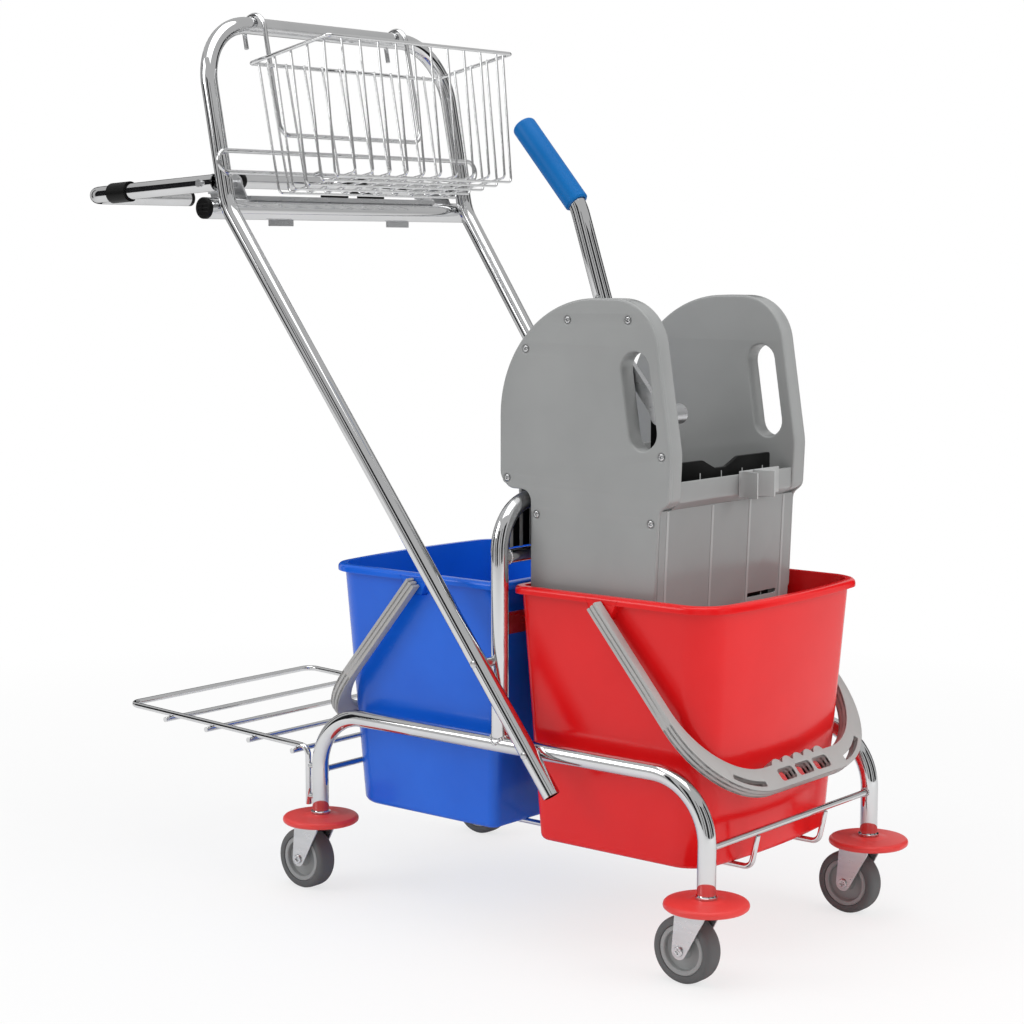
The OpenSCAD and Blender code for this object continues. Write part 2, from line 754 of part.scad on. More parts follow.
// Fork with its stem and axle, swivelling about the leg's axis
module caster_fork(end, side) {
    axle_z = wheel_d / 2;
    eye_r = axle_d / 2 + 5;
    crown_hx = 18;
    color("silver") at_caster(end, side) {
        translate([-crown_hx, -fork_in - fork_t, crown_z])
            cube([2 * crown_hx, 2 * (fork_in + fork_t), fork_t]);
        for (y = [-fork_in, fork_in + fork_t]) translate([0, y, 0]) rotate([90, 0, 0])
            linear_extrude(fork_t) {
            polygon([[-crown_hx, crown_z + fork_t / 2], [crown_hx, crown_z + fork_t / 2],
                [-trail + 0.9 * eye_r, axle_z - 0.4 * eye_r], [-trail - eye_r, axle_z]]);
            translate([-trail, axle_z]) circle(r = eye_r);
        }
        cross_bar(-trail, 0, axle_z, axle_d, 2 * (fork_in + fork_t + 2.5));
        translate([0, 0, crown_z]) cylinder(d = stem_d, h = bumper_top + stem_len - 4 - crown_z);
        translate([0, 0, crown_z]) cylinder(d = 2 * stem_d, h = fork_t + 2 - seat_clear);
    }
}
module fork_front_near() caster_fork(1, -1);
module fork_front_far() caster_fork(1, 1);
module fork_rear_near() caster_fork(-1, -1);
module fork_rear_far() caster_fork(-1, 1);

// Draws a wheel profile, given as radius and width, about the axle
module about_axle(end, side) at_caster(end, side) translate([-trail, 0, wheel_d / 2]) rotate([90, 0, 0])
    rotate_extrude() children();

module wheel_hub(end, side) {
    bore = axle_d / 2 + run_clear;
    rim_r = hub_d / 2 - weld_clear;
    color("darkgray") about_axle(end, side) {
        translate([bore, -hub_len / 2]) square([6, hub_len]);
        translate([bore, -4]) square([rim_r - bore, 8]);
        translate([rim_r - 5, -tyre_w / 2 + 1]) square([5, tyre_w - 2]);
    }
}
module hub_front_near() wheel_hub(1, -1);
module hub_front_far() wheel_hub(1, 1);
module hub_rear_near() wheel_hub(-1, -1);
module hub_rear_far() wheel_hub(-1, 1);

module wheel_tyre(end, side) {
    round_r = 4;
    flat = wheel_d / 2 - hub_d / 2;
    color("gray") about_axle(end, side) translate([hub_d / 2, 0]) {
        translate([0, -tyre_w / 2]) square([flat - round_r, tyre_w]);
        translate([0, -tyre_w / 2 + round_r]) square([flat, tyre_w - 2 * round_r]);
        for (s = [-1, 1]) translate([flat - round_r, s * (tyre_w / 2 - round_r)]) circle(r = round_r);
    }
}
module tyre_front_near() wheel_tyre(1, -1);
module tyre_front_far() wheel_tyre(1, 1);
module tyre_rear_near() wheel_tyre(-1, -1);
module tyre_rear_far() wheel_tyre(-1, 1);

// Buckets, drawn on the red side
// Outline of a bucket at a share t of its height, grown by grow
function bucket_plan(t, grow) =
    let (hw = bucket_bottom_hw + (bucket_top_hw - bucket_bottom_hw) * t + grow,
        x0 = bucket_bottom_in + (bucket_top_in - bucket_bottom_in) * t - grow,
        x1 = bucket_bottom_out + (bucket_top_out - bucket_bottom_out) * t + grow,
        ri = bucket_r_in + grow,
        ro = bucket_r_out + grow,
        slant = atan(2 * bucket_bow / (hw - ro / 2)),
        yb = hw - ro + ro * sin(slant),
        xb = x1 - ro + ro * cos(slant))
    concat(arc([x0 + ri, ri - hw], ri, 180, 270, 6), arc([x1 - ro, ro - hw], ro, 270, 360 - slant, 8),
        [for (i = [-4:4]) [xb + bucket_bow * (1 - i * i / 25), yb * i / 5]],
        arc([x1 - ro, hw - ro], ro, slant, 90, 8), arc([x0 + ri, hw - ri], ri, 90, 180, 6));

module bucket_slab(h, grow, thick) translate([0, 0, bucket_z + h]) linear_extrude(thick)
    polygon(bucket_plan(h / bucket_h, grow));

// Tapered block of a bucket between two heights, sloped round its foot
module bucket_block(from, to, grow) {
    sheet = 0.01;
    hull() {
        bucket_slab(from, grow - bucket_foot, sheet);
        bucket_slab(from + bucket_foot, grow, sheet);
        bucket_slab(to - sheet, grow, sheet);
    }
}

module bucket_body() {
    ear_w = 44;
    ear_z = rim_z - rim_drop;
    ear_in = bucket_top_hw - 9;
    pin_y = bail_in_y + bail_pin_len;
    difference() {
        union() {
            bucket_block(0, bucket_h, 0);
            bucket_slab(bucket_h - rim_t, rim_w, rim_t);
            difference() {
                bucket_slab(bucket_h - rim_drop, rim_w, rim_drop);
                bucket_slab(bucket_h - rim_drop - 1, rim_w - bucket_wall, rim_drop + 2);
            }
            both_sides() {
                translate([bail_x, 0, 0]) rotate([90, 0, 0]) translate([0, 0, ear_in])
                    linear_extrude(rim_hw - ear_in) polygon([[-ear_w / 2, ear_z], [ear_w / 2, ear_z],
                        [bail_pin_d, bail_z - bail_pin_d], [-bail_pin_d, bail_z - bail_pin_d]]);
                bar([bail_x, -ear_in, bail_z], [bail_x, -pin_y, bail_z], bail_pin_d);
            }
        }
        bucket_block(bucket_wall, bucket_h + 1, -bucket_wall);
    }
}

// Bail lying flat along +X from its pins, centred on Y
module bail_flat() {
    out_y = bail_in_y + bail_arm_w;
    in_r = bail_corner - bail_arm_w;
    flat = bail_len - bail_corner;
    grip_y = out_y - bail_corner;
    bail_end = bail_pin_d / 2 + 3;
    in_x = bail_len - bail_grip_w - in_r;
    hole_frame = 6;
    difference() {
        linear_extrude(bail_t, center = true) difference() {
            union() {
                translate([-bail_end, -out_y]) square([flat + bail_end, 2 * out_y]);
                translate([flat - 0.01, -grip_y]) square([bail_corner + 0.01, 2 * grip_y]);
                for (s = [-1, 1]) translate([flat, s * grip_y]) circle(r = bail_corner);
            }
            translate([-bail_end - 1, -bail_in_y]) square([in_x + bail_end + 1, 2 * bail_in_y]);
            translate([in_x - 0.01, -bail_in_y + in_r]) square([in_r + 0.01, 2 * (bail_in_y - in_r)]);
            for (s = [-1, 1]) translate([in_x, s * (bail_in_y - in_r)]) circle(r = in_r);
            for (i = [-1:1]) translate([bail_len - bail_grip_w + hole_frame,
                i * (grip_hole_w + hole_frame) - grip_hole_w / 2])
                square([bail_grip_w - 2 * hole_frame, grip_hole_w]);
        }
        both_sides() bar([0, -bail_in_y + 1, 0], [0, -bail_in_y - bail_pin_len - seat_clear, 0],
            bail_pin_d + 2 * run_clear);
    }
}

module bail_hung() translate([bail_x, 0, bail_z]) rotate([0, bail_hang, 0]) bail_flat();

module red_bucket() color("red") placed() bucket_body();
module red_bail() color("darkgray") placed() bail_hung();
module blue_bucket() color("royalblue") placed() mirror([1, 0, 0]) bucket_body();
module blue_bail() color("darkgray") placed() mirror([1, 0, 0]) bail_hung();

// Wringer
front_lean = 9.1;
nose_x = lip_x + 4.5;
cheek_back_x = shaft_x + 11;
function cheek_outline() =
    let (back = [cheek_back_x, cheek_top - cheek_back_r],
        nose_z = lip_top + 32.5,
        seat_z = bar_top + cheek_gap,
        front_x = tube_d / 2 + 9,
        corner = 14,
        high = cheek_top - cheek_front_r,
        shoulder = [nose_x - (high - nose_z) * tan(front_lean) - cheek_front_r / cos(front_lean), high])
    concat(arc(back, cheek_back_r, 180, 90, 16), arc(shoulder, cheek_front_r, 90, front_lean, 8),
        [[nose_x, nose_z], [nose_x - 2.5, step_z + 9], [tub_front + 5, step_z - 1], [tub_front, cheek_low],
            [tub_back - 2, cheek_low], [tub_back - 2, rim_z + 10], [front_x, rim_z + 34]],
        arc([front_x - corner, seat_z - corner], corner, 0, 90, 4),
        [[back[0] - cheek_back_r + corner, seat_z], [back[0] - cheek_back_r, seat_z + corner]]);

// Hollow inside a cheek, clear of its slot and its bearing
function cheek_pocket() =
    let (low = bar_top + cheek_gap + 8, edge = 8, x0 = cheek_back_x - cheek_back_r + 15, high = shaft_z - 25,
        floor = cheek_low + edge)
    [[x0, low], [x0, low + 70], [x0 + 28, high], [shaft_x + 35, high], [shaft_x + 38, low + 20],
        [tub_front - edge, low - 6], [tub_front - edge, floor], [tub_back + edge, floor],
        [tub_back + edge, low]];

slot_low = [nose_x - 40.5, 0, lip_top + 56.5];
slot_high = slot_low + slot_len * [-sin(front_lean), 0, cos(front_lean)];
function slot_outline() = concat(
    arc([slot_high[0], slot_high[2]], slot_w / 2, front_lean, front_lean + 180, 16),
    arc([slot_low[0], slot_low[2]], slot_w / 2, front_lean + 180, front_lean + 360, 16));

module cheek(bearing) {
    wall = 4;
    difference() {
        translate([0, -cheek_in_y, 0]) rotate([90, 0, 0]) linear_extrude(cheek_t) polygon(cheek_outline());
        translate([0, -cheek_in_y - wall, 0]) rotate([90, 0, 0])
            linear_extrude(cheek_t - 2 * wall) polygon(cheek_pocket());
        translate([0, -cheek_y + 2 * cheek_t, 0]) rotate([90, 0, 0])
            linear_extrude(4 * cheek_t) polygon(slot_outline());
        if (bearing) bar([shaft_x, 0, shaft_z], [shaft_x, -cheek_in_y - bearing_depth - 1, shaft_z],
            shaft_d + 2 * run_clear);
    }
}
module cheek_near() color("darkgray") placed() cheek(true);
module cheek_far() color("darkgray") placed() mirror([0, 1, 0]) cheek(false);

module cheek_screws() {
    screw_d = 8;
    screw_t = 2;
    places = [[shaft_x - 93, shaft_z - 28], [shaft_x - 29, shaft_z + 8], [shaft_x + 60, shaft_z + 9],
        [nose_x - 13, lip_top + 30.5], [cheek_back_x - cheek_back_r + 11, bar_top + cheek_gap + 14],
        [tube_d / 2 + 15, bar_top - 26], [tub_front - 5, bar_top - 25]];
    color("silver") placed() both_sides() for (p = places)
        cross_bar(p[0], -cheek_y - screw_t / 2 - weld_clear, p[1], screw_d, screw_t);
}

// Open box between the cheeks, with a stepped front lip and a rear flange that rests on the arch
module wringer_tub() {
    rear_x = tube_d / 2 + 10;
    shelf_z = rim_z + 12;
    hook_x = -tube_d / 2 - 9;
    ledge = 8;
    ledge_h = 10;
    ribs = [-100, -25, 50];
    rib_w = 4;
    rib_z = tub_z + 20;
    pad = [rear_x - tube_d / 2 + 1, 60, 20];
    slit = [40, 68, 5];
    slope = 9;
    lip_in = lip_x - tub_wall;
    chest_outline = [[rear_x, shelf_z - tub_wall], [tub_front, shelf_z - tub_wall], [tub_front, step_z],
        [tub_front + 4, step_z], [lip_x, step_z + slope], [lip_x, lip_top], [lip_in, lip_top],
        [lip_in, step_z + slope + tub_wall / 2], [tub_front + 3, step_z + tub_wall],
        [tub_front - 10, step_z + tub_wall], [tub_front - 10, step_z], [rear_x, step_z]];
    color("darkgray") placed() difference() {
        union() {
            translate([tub_back, -tub_y, tub_z]) cube([tub_front - tub_back, 2 * tub_y, shelf_z - tub_z]);
            translate([rear_x, -tub_y, shelf_z]) cube([tub_wall, 2 * tub_y, lip_top + 20 - shelf_z]);
            translate([0, tub_y, 0]) rotate([90, 0, 0]) linear_extrude(2 * tub_y) polygon(chest_outline);
            translate([hook_x, -tub_y, bar_top + seat_clear]) cube([rear_x + 1 - hook_x, 2 * tub_y, 8]);
            translate([hook_x, -tub_y, bar_top - 16]) cube([4, 2 * tub_y, 20]);
            translate([tube_d / 2 + seat_clear, -pad[1] / 2, arch_z - lower_bar_drop - pad[2] / 2])
                cube(pad);
            for (y = ribs) translate([tub_front - 1, y - rib_w / 2, rib_z])
                cube([2.5, rib_w, step_z - rib_z]);
        }
        translate([tub_back + tub_wall, -tub_y + tub_wall, tub_z + ledge_h])
            cube([tub_front - tub_back - 2 * tub_wall, 2 * (tub_y - tub_wall), shelf_z - tub_z]);
        translate([tub_back + tub_wall + ledge, -tub_y + tub_wall + ledge, tub_z - 1])
            cube([tub_front - tub_back - 2 * (tub_wall + ledge), 2 * (tub_y - tub_wall - ledge),
                shelf_z - tub_z]);
        translate([rear_x + tub_wall, -tub_y + tub_wall, shelf_z])
            cube([tub_front - rear_x - 2 * tub_wall, 2 * (tub_y - tub_wall), lip_top]);
        translate([tub_front - slit[0] / 2, 45, rim_z - 22]) cube(slit);
    }
}

// Perforated floor seated on the tub's ledge, with the press plate's hinge ears
module sieve_floor() {
    x0 = tub_back + tub_wall + seat_clear;
    x1 = tub_front - tub_wall - seat_clear;
    hw = tub_y - tub_wall - seat_clear;
    pitch = 30;
    hole_d = 14;
    ear_t = 5;
    ear_y = press_hw + seat_clear + ear_t / 2;
    color("dimgray") placed() {
        difference() {
            translate([x0, -hw, tub_z + 10 + weld_clear]) cube([x1 - x0, 2 * hw, 3]);
            for (i = [0:3], j = [-3:3]) translate([x0 + 20 + i * pitch, j * pitch, tub_z])
                cylinder(d = hole_d, h = 20);
        }
        for (s = [-1, 1]) translate([0, s * ear_y + ear_t / 2, 0]) difference() {
            rotate([90, 0, 0]) linear_extrude(ear_t) {
                translate([hinge_x - hinge_d, tub_z + 13]) square([2 * hinge_d, hinge_z - tub_z - 13]);
                translate([hinge_x, hinge_z]) circle(r = hinge_d);
            }
            cross_bar(hinge_x, -ear_t / 2, hinge_z, hinge_d + 2 * run_clear, 4 * ear_t);
        }
    }
}

// C-shaped clip on the lip that holds a tool's handle upright
module tool_clip() {
    out_r = clip_d / 2 + clip_wall;
    back_x = lip_x + weld_clear;
    mouth = 0.8 * clip_d;
    tab = 55;
    z = lip_top - clip_h + 4;
    color("darkgray") placed() translate([back_x + clip_wall + clip_d / 2, clip_y, z]) {
        difference() {
            cylinder(r = out_r, h = clip_h);
            translate([0, 0, -1]) cylinder(d = clip_d, h = clip_h + 2);
            translate([0, -mouth / 2, -1]) cube([2 * out_r, mouth, clip_h + 2]);
        }
        translate([-out_r, -out_r, 0]) cube([clip_wall - 0.5, 2 * out_r + tab, clip_h]);
    }
}

// Lever with its grip, shaft, crank and roller
lever_bend = 60;
function lever_path() = let (low = [-sin(lever_lean), 0, cos(lever_lean)],
        high = [-sin(grip_lean), 0, cos(grip_lean)])
    [low * (lever_hub_d / 2 + weld_clear), low * lever_len, low * lever_len + high * (grip_len + 10)];

module at_lever() placed() translate([shaft_x, -lever_y, shaft_z]) children();

module lever_tube() {
    color("silver") at_lever() swept(lever_path(), [lever_bend], tube_d, [0, 1, 0], 16, tube_wall);
}

// Grip slid over the lever's upper end, closed at the top
module lever_grip() {
    tip = lever_path()[2];
    dir = unit(tip - lever_path()[1]);
    color("dodgerblue") at_lever() difference() {
        bar(tip - dir * (grip_len - 4), tip + dir * 4, grip_d);
        bar(tip - dir * grip_len, tip + dir * weld_clear, tube_d + 2 * weld_clear);
    }
}

module lever_shaft() {
    crank_w = 16;
    color("gainsboro") placed() {
        bar([shaft_x, -cheek_in_y - bearing_depth, shaft_z], [shaft_x, -lever_y + lever_hub_len / 2, shaft_z],
            shaft_d);
        difference() {
            cross_bar(shaft_x, -lever_y, shaft_z, lever_hub_d, lever_hub_len);
            cross_bar(shaft_x, -lever_y, shaft_z, shaft_d + 2 * weld_clear, 2 * lever_hub_len);
        }
        translate([0, -crank_y, 0]) difference() {
            rotate([90, 0, 0]) linear_extrude(crank_t) {
                translate([shaft_x, shaft_z]) circle(d = shaft_d + 12);
                translate([roller_x, roller_z]) circle(d = roller_d);
                translate([shaft_x, shaft_z]) rotate(crank_angle - 90) translate([0, -crank_w / 2])
                    square([crank_len, crank_w]);
            }
            cross_bar(shaft_x, -crank_t / 2, shaft_z, shaft_d + 2 * weld_clear, 2 * crank_t);
        }
        cross_bar(roller_x, -roller_y, roller_z, roller_d, roller_len);
    }
}

// Press plate with a notched top edge, hinged at its foot
module press_plate() {
    top = hinge_z + press_len;
    notch = [38, 12, 11];
    color("black") placed() {
        translate([plate_x, 0, 0]) rotate([90, 0, 90]) linear_extrude(press_t) polygon(
            [[-press_hw, hinge_z], [press_hw, hinge_z], [press_hw, top], [notch[0], top],
                [notch[1], top - notch[2]], [-notch[1], top - notch[2]], [-notch[0], top], [-press_hw, top]]);
        cross_bar(hinge_x, 0, hinge_z, hinge_d, 2 * (press_hw + seat_clear + 5));
    }
}

// Arm on the back of the press plate that the roller pushes
module push_arm() {
    arm_w = 16;
    arm_t = 10;
    hold = 110;
    heel = 20;
    step = 12;
    head = 22;
    plate_top = hinge_z + press_len;
    foot_z = plate_top - hold;
    back_x = plate_x - weld_clear;
    head_z = roller_z + head;
    color("dimgray") placed() translate([0, -roller_y + arm_w / 2, 0]) rotate([90, 0, 0])
        linear_extrude(arm_w) polygon([[back_x, foot_z], [back_x, plate_top - heel],
            [push_x, plate_top + step], [push_x, head_z], [push_x - arm_t, head_z],
            [push_x - arm_t, plate_top - heel]]);
}

// Basket, drawn upright about its floor's rear edge, then tilted onto the handle
leg_dir = [-sin(basket_tilt), 0, cos(basket_tilt)];
basket_origin = [top_x, 0, handle_top_z] - leg_dir * (basket_hang + basket_h)
    + [cos(basket_tilt), 0, sin(basket_tilt)] * basket_stand;
module on_handle() placed() translate(basket_origin) rotate([0, -basket_tilt, 0]) children();
wire_step = (rim_wire_d + panel_wire_d) / 2 + weld_clear;
inner_depth = basket_depth - 2 * wire_step;
inner_hw = basket_hw - wire_step;
floor_front = wire_step + basket_floor_depth - 2 * wire_step;
floor_hw = basket_floor_hw - wire_step;
function wire_y(i, hw) = 2 * hw / (basket_wires_n + 0.4) * (i - (basket_wires_n - 1) / 2);
function side_u(i) = wire_step + 8 + (inner_depth - 16) * i / (side_wires_n - 1);
function side_floor_u(i) = wire_step + 8 + (floor_front - wire_step - 16) * i / (side_wires_n - 1);

module basket_rim() {
    color("silver") on_handle() {
        half = rim_wire_d / 2;
        for (s = [-1, 1]) bar([half + weld_clear, s * basket_hw, basket_h],
            [basket_depth - half - weld_clear, s * basket_hw, basket_h], rim_wire_d);
        for (u = [0, basket_depth])
            bar([u, -basket_hw - half, basket_h], [u, basket_hw + half, basket_h], rim_wire_d);
    }
}

module basket_front() {
    color("silver") on_handle() for (i = [0:basket_wires_n - 1])
        bar([floor_front + panel_wire_d, wire_y(i, floor_hw), 0],
            [basket_depth - wire_step, wire_y(i, inner_hw), basket_h + rim_wire_d / 2], panel_wire_d);
}

module basket_rear() {
    color("silver") on_handle() for (i = [0:basket_wires_n - 1])
        bar([wire_step, wire_y(i, floor_hw), 0],
            [wire_step, wire_y(i, inner_hw), basket_h + rim_wire_d / 2], panel_wire_d);
}

module basket_side() {
    color("silver") on_handle() for (i = [0:side_wires_n - 1])
        bar([side_floor_u(i), -floor_hw - panel_wire_d, 0],
            [side_u(i), -inner_hw, basket_h + rim_wire_d / 2], panel_wire_d);
}
module basket_side_near() basket_side();
module basket_side_far() mirror([0, 1, 0]) basket_side();

module basket_floor() {
    upper_w = -panel_wire_d / 2 - weld_clear;
    lower_w = upper_w - panel_wire_d - weld_clear;
    end_u = floor_front + 1.5 * panel_wire_d;
    end_y = floor_hw + 1.5 * panel_wire_d;
    color("silver") on_handle() {
        for (i = [0:basket_wires_n - 1]) bar([wire_step - panel_wire_d / 2, wire_y(i, floor_hw), upper_w],
            [end_u, wire_y(i, floor_hw), upper_w], panel_wire_d);
        for (i = [0:side_wires_n - 1]) bar([side_floor_u(i), -end_y, lower_w],
            [side_floor_u(i), end_y, lower_w], panel_wire_d);
    }
}

// Bent wire that hooks over the top bar and runs down behind the basket
module basket_hanger() {
    top_w = basket_h + basket_hang;
    front = -rim_wire_d / 2 - hanger_d / 2 - weld_clear;
    tail = -2 * basket_stand - front;
    crest = top_w + tube_d / 2 + hanger_d / 2 + seat_clear;
    over = (front - tail) / 2 - 0.5;
    low = top_w - hanger_len;
    foot_bend = 16;
    tail_len = 26;
    half = [[tail, -hook_hw, top_w - tail_len], [tail, -hook_hw, crest], [front, -hook_hw, crest],
        [front, -hook_hw, low]];
    far_half = [for (i = [3:-1:0]) [half[i][0], -half[i][1], half[i][2]]];
    color("silver") on_handle() swept(concat(half, far_half), [over, over, foot_bend, foot_bend, over, over],
        hanger_d, [0, 1, 0], 8);
}

// Flat loop behind the basket that leans on the handle legs, with two stubs to the rear wires
module basket_spacer() {
    u = -basket_stand + tube_d / 2 + hanger_d / 2 + seat_clear;
    r = spacer_h / 2;
    low = 26;
    y = spacer_hw - r - hanger_d / 2;
    color("silver") on_handle() {
        for (w = [low, low + spacer_h]) bar([u, -y, w], [u, y, w], hanger_d);
        for (s = [-1, 1]) translate([u, s * y, low + r]) rotate([0, 90, 0])
            rotate(s > 0 ? 0 : 180) rotate_extrude(angle = 180) translate([r, 0]) circle(d = hanger_d);
        for (i = [2, basket_wires_n - 3]) bar([u + hanger_d / 2 + weld_clear, wire_y(i, floor_hw), low],
            [wire_step - panel_wire_d / 2 - weld_clear, wire_y(i, floor_hw), low], hanger_d);
    }
}

side_tube_near();
side_tube_far();
end_rods();
cradle_wires();
wringer_arch();
arch_lower_bar();
bucket_strap();
handle_frame();
handle_bolts();
platform_frame();
platform_wires();
platform_bolts();
bag_rail();
bag_rail_plugs();
bag_strip();
bag_pads();
bag_bracket_near();
bag_bracket_far();
bumper_rings();
caster_bushes();
fork_front_near();
fork_front_far();
fork_rear_near();
fork_rear_far();
hub_front_near();
hub_front_far();
hub_rear_near();
hub_rear_far();
tyre_front_near();
tyre_front_far();
tyre_rear_near();
tyre_rear_far();
bag_arm_near();
bag_arm_far();
bag_fittings_near();
bag_fittings_far();
blue_bucket();
blue_bail();
red_bucket();
red_bail();
wringer_tub();
cheek_near();
cheek_far();
cheek_screws();
tool_clip();
sieve_floor();
lever_tube();
lever_grip();
lever_shaft();
press_plate();
push_arm();
basket_rim();
basket_front();
basket_rear();
basket_side_near();
basket_side_far();
basket_floor();
basket_hanger();
basket_spacer();
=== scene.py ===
# %% [markdown]
# # A double mop bucket trolley
# The trolley is a chromed tube chassis with two buckets, a lever wringer, a wire basket, a bag holder and
# a wire platform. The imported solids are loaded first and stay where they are. Where a solid already has
# the real shape it only gets a finish. Where the real piece has soft edges, grooves or moulded detail, a
# new piece is modelled over the same place and stands for the solid.

# %% Load the solids
import json
import math

import bmesh
import bpy
from mathutils import Matrix, Vector


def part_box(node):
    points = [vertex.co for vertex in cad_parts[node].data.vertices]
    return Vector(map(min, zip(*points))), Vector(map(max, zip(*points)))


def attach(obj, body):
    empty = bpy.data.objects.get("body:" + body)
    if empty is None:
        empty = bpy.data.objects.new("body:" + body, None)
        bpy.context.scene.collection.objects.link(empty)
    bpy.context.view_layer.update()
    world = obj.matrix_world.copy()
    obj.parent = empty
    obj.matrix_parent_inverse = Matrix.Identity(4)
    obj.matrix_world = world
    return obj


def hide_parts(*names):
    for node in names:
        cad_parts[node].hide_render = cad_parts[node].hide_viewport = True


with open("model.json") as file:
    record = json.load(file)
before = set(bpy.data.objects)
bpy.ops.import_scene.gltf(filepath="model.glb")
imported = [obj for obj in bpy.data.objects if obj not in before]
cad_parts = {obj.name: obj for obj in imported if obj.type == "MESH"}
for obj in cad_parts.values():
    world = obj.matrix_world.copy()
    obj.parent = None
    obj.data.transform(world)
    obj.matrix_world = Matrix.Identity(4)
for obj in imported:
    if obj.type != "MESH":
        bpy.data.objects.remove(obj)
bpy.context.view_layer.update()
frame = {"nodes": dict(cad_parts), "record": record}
solids = frame["nodes"]
slot_of = {row["node"]: row["material_slot"] for row in frame["record"]["subparts"]}
bodies = frame["record"]["behaviour"]["bodies"]
body_of = {node: body for body, members in bodies.items() for node in members}
scene = bpy.context.scene

# %% [markdown]
# Measures below are millimetres about the middle of the chassis, as a maker would write them on a sketch.
# The part's own origin lies under the middle of the whole trolley, so every point is shifted along X by
# the middle of a side tube, which is measured from its solid.

# %% Millimetres to the part's frame
MM = 0.001
UP, NEAR, FAR = Vector((0, 0, 1)), Vector((0, -1, 0)), Vector((0, 1, 0))
tube_low, tube_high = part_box("side_tube_near")
CHASSIS_X = (tube_low.x + tube_high.x) / 2


def at(x, y, z):
    return Vector((x * MM + CHASSIS_X, y * MM, z * MM))


def placed(x, y, z):
    return Matrix.Translation(at(x, y, z))


print("chassis middle at x =", round(CHASSIS_X, 6))

# %% [markdown]
# The camera stands where the photographer stood. Its place and lens were found by matching the wheels,
# the rims and the handle.

# %% Camera
SENSOR, LENS = 36.0, 78.2
STAND, PITCH, YAW = (1711.8, -2229.8, 839.0), 83.308, 39.55
camera_data = bpy.data.cameras.new("camera")
camera_data.sensor_width = SENSOR
camera_data.lens = LENS
camera = bpy.data.objects.new("camera", camera_data)
scene.collection.objects.link(camera)
camera.location = at(*STAND)
camera.rotation_euler = (math.radians(PITCH), 0, math.radians(YAW))
scene.camera = camera
print("camera at", [round(v, 3) for v in camera.location])

# %% [markdown]
# A white studio: a pale floor that keeps a soft shadow, a white world, and three large soft lamps. Bright
# chrome shows whatever stands round it, and in an all white room it would look like white paint. A
# photographer hangs dark flags round such a subject, and so does this scene: a few dark cards that only
# mirror-like rays can see.

# %% Studio
WHITE = (1, 1, 1, 1)
ROOM_LIGHT, BACKDROP = 0.55, 1.0
FLOOR_HALF, FLOOR_PAINT = 30, (0.9, 0.9, 0.9, 1)
FLOOR_GLOW = {"From Min": 0.5, "From Max": 1.9, "To Min": 0.72, "To Max": 1.0}
FLAG_PAINT, FLAG_AWAY, FLAG_TOP = (0.02, 0.02, 0.022, 1), 3.6, 2.6
FLAGS = [(-14, 0.5), (10, 1.1), (40, 0.35), (66, 1.2), (96, 0.5), (122, 1.5), (170, 1.7), (206, 0.6),
    (238, 1.6), (276, 0.5), (306, 1.3)]
scene.view_settings.view_transform = "Standard"


def preset(node, values):
    """Sets a node's input sockets by their names."""
    for socket, value in values.items():
        node.inputs[socket].default_value = value
    return node


def add_node(tree, kind, values=None):
    return preset(tree.nodes.new("ShaderNode" + kind), values or {})


def seen_directly(tree):
    """A value that is 1 for camera rays and 0 for light that bounces about the room."""
    return add_node(tree, "LightPath").outputs["Is Camera Ray"]


def blend(tree, share, first, second, output):
    """Sends a mix of two shaders to a new output node."""
    mix, out = add_node(tree, "MixShader"), add_node(tree, output)
    for source, socket in zip((share, first.outputs[0], second.outputs[0]), mix.inputs):
        tree.links.new(source, socket)
    tree.links.new(mix.outputs[0], out.inputs["Surface"])


def studio_world():
    world = bpy.data.worlds.new("studio")
    scene.world = world
    world.use_nodes = True
    tree = world.node_tree
    tree.nodes.clear()
    room = add_node(tree, "Background", {"Color": WHITE, "Strength": ROOM_LIGHT})
    white = add_node(tree, "Background", {"Color": WHITE, "Strength": BACKDROP})
    blend(tree, seen_directly(tree), room, white, "OutputWorld")


def stage_mesh(name, bm):
    mesh = bpy.data.meshes.new(name)
    bm.to_mesh(mesh)
    bm.free()
    obj = bpy.data.objects.new(name, mesh)
    scene.collection.objects.link(obj)
    return obj


def studio_floor():
    """A diffuse floor round the object that passes into plain white farther away."""
    bm = bmesh.new()
    bmesh.ops.create_grid(bm, x_segments=1, y_segments=1, size=FLOOR_HALF)
    floor = stage_mesh("floor", bm)
    mat = bpy.data.materials.new("floor")
    mat.use_nodes = True
    tree = mat.node_tree
    tree.nodes.clear()
    paint = add_node(tree, "BsdfDiffuse", {"Color": FLOOR_PAINT})
    glow = add_node(tree, "Emission", {"Color": WHITE})
    away = add_node(tree, "VectorMath")
    away.operation = "LENGTH"
    tree.links.new(add_node(tree, "TexCoord").outputs["Object"], away.inputs[0])
    fade = add_node(tree, "MapRange", FLOOR_GLOW)
    tree.links.new(away.outputs["Value"], fade.inputs["Value"])
    share = add_node(tree, "Math")
    share.operation = "MULTIPLY"
    tree.links.new(seen_directly(tree), share.inputs[0])
    tree.links.new(fade.outputs["Result"], share.inputs[1])
    blend(tree, share.outputs[0], paint, glow, "OutputMaterial")
    floor.data.materials.append(mat)


def soft_lamp(name, place, target, size, power, mirrored_in_chrome=True):
    data = bpy.data.lights.new(name, "AREA")
    data.shape = "SQUARE"
    data.size = size
    data.energy = power
    lamp = bpy.data.objects.new(name, data)
    scene.collection.objects.link(lamp)
    lamp.visible_glossy = mirrored_in_chrome
    lamp.location = place
    lamp.rotation_euler = (Vector(target) - Vector(place)).to_track_quat("-Z", "Y").to_euler()


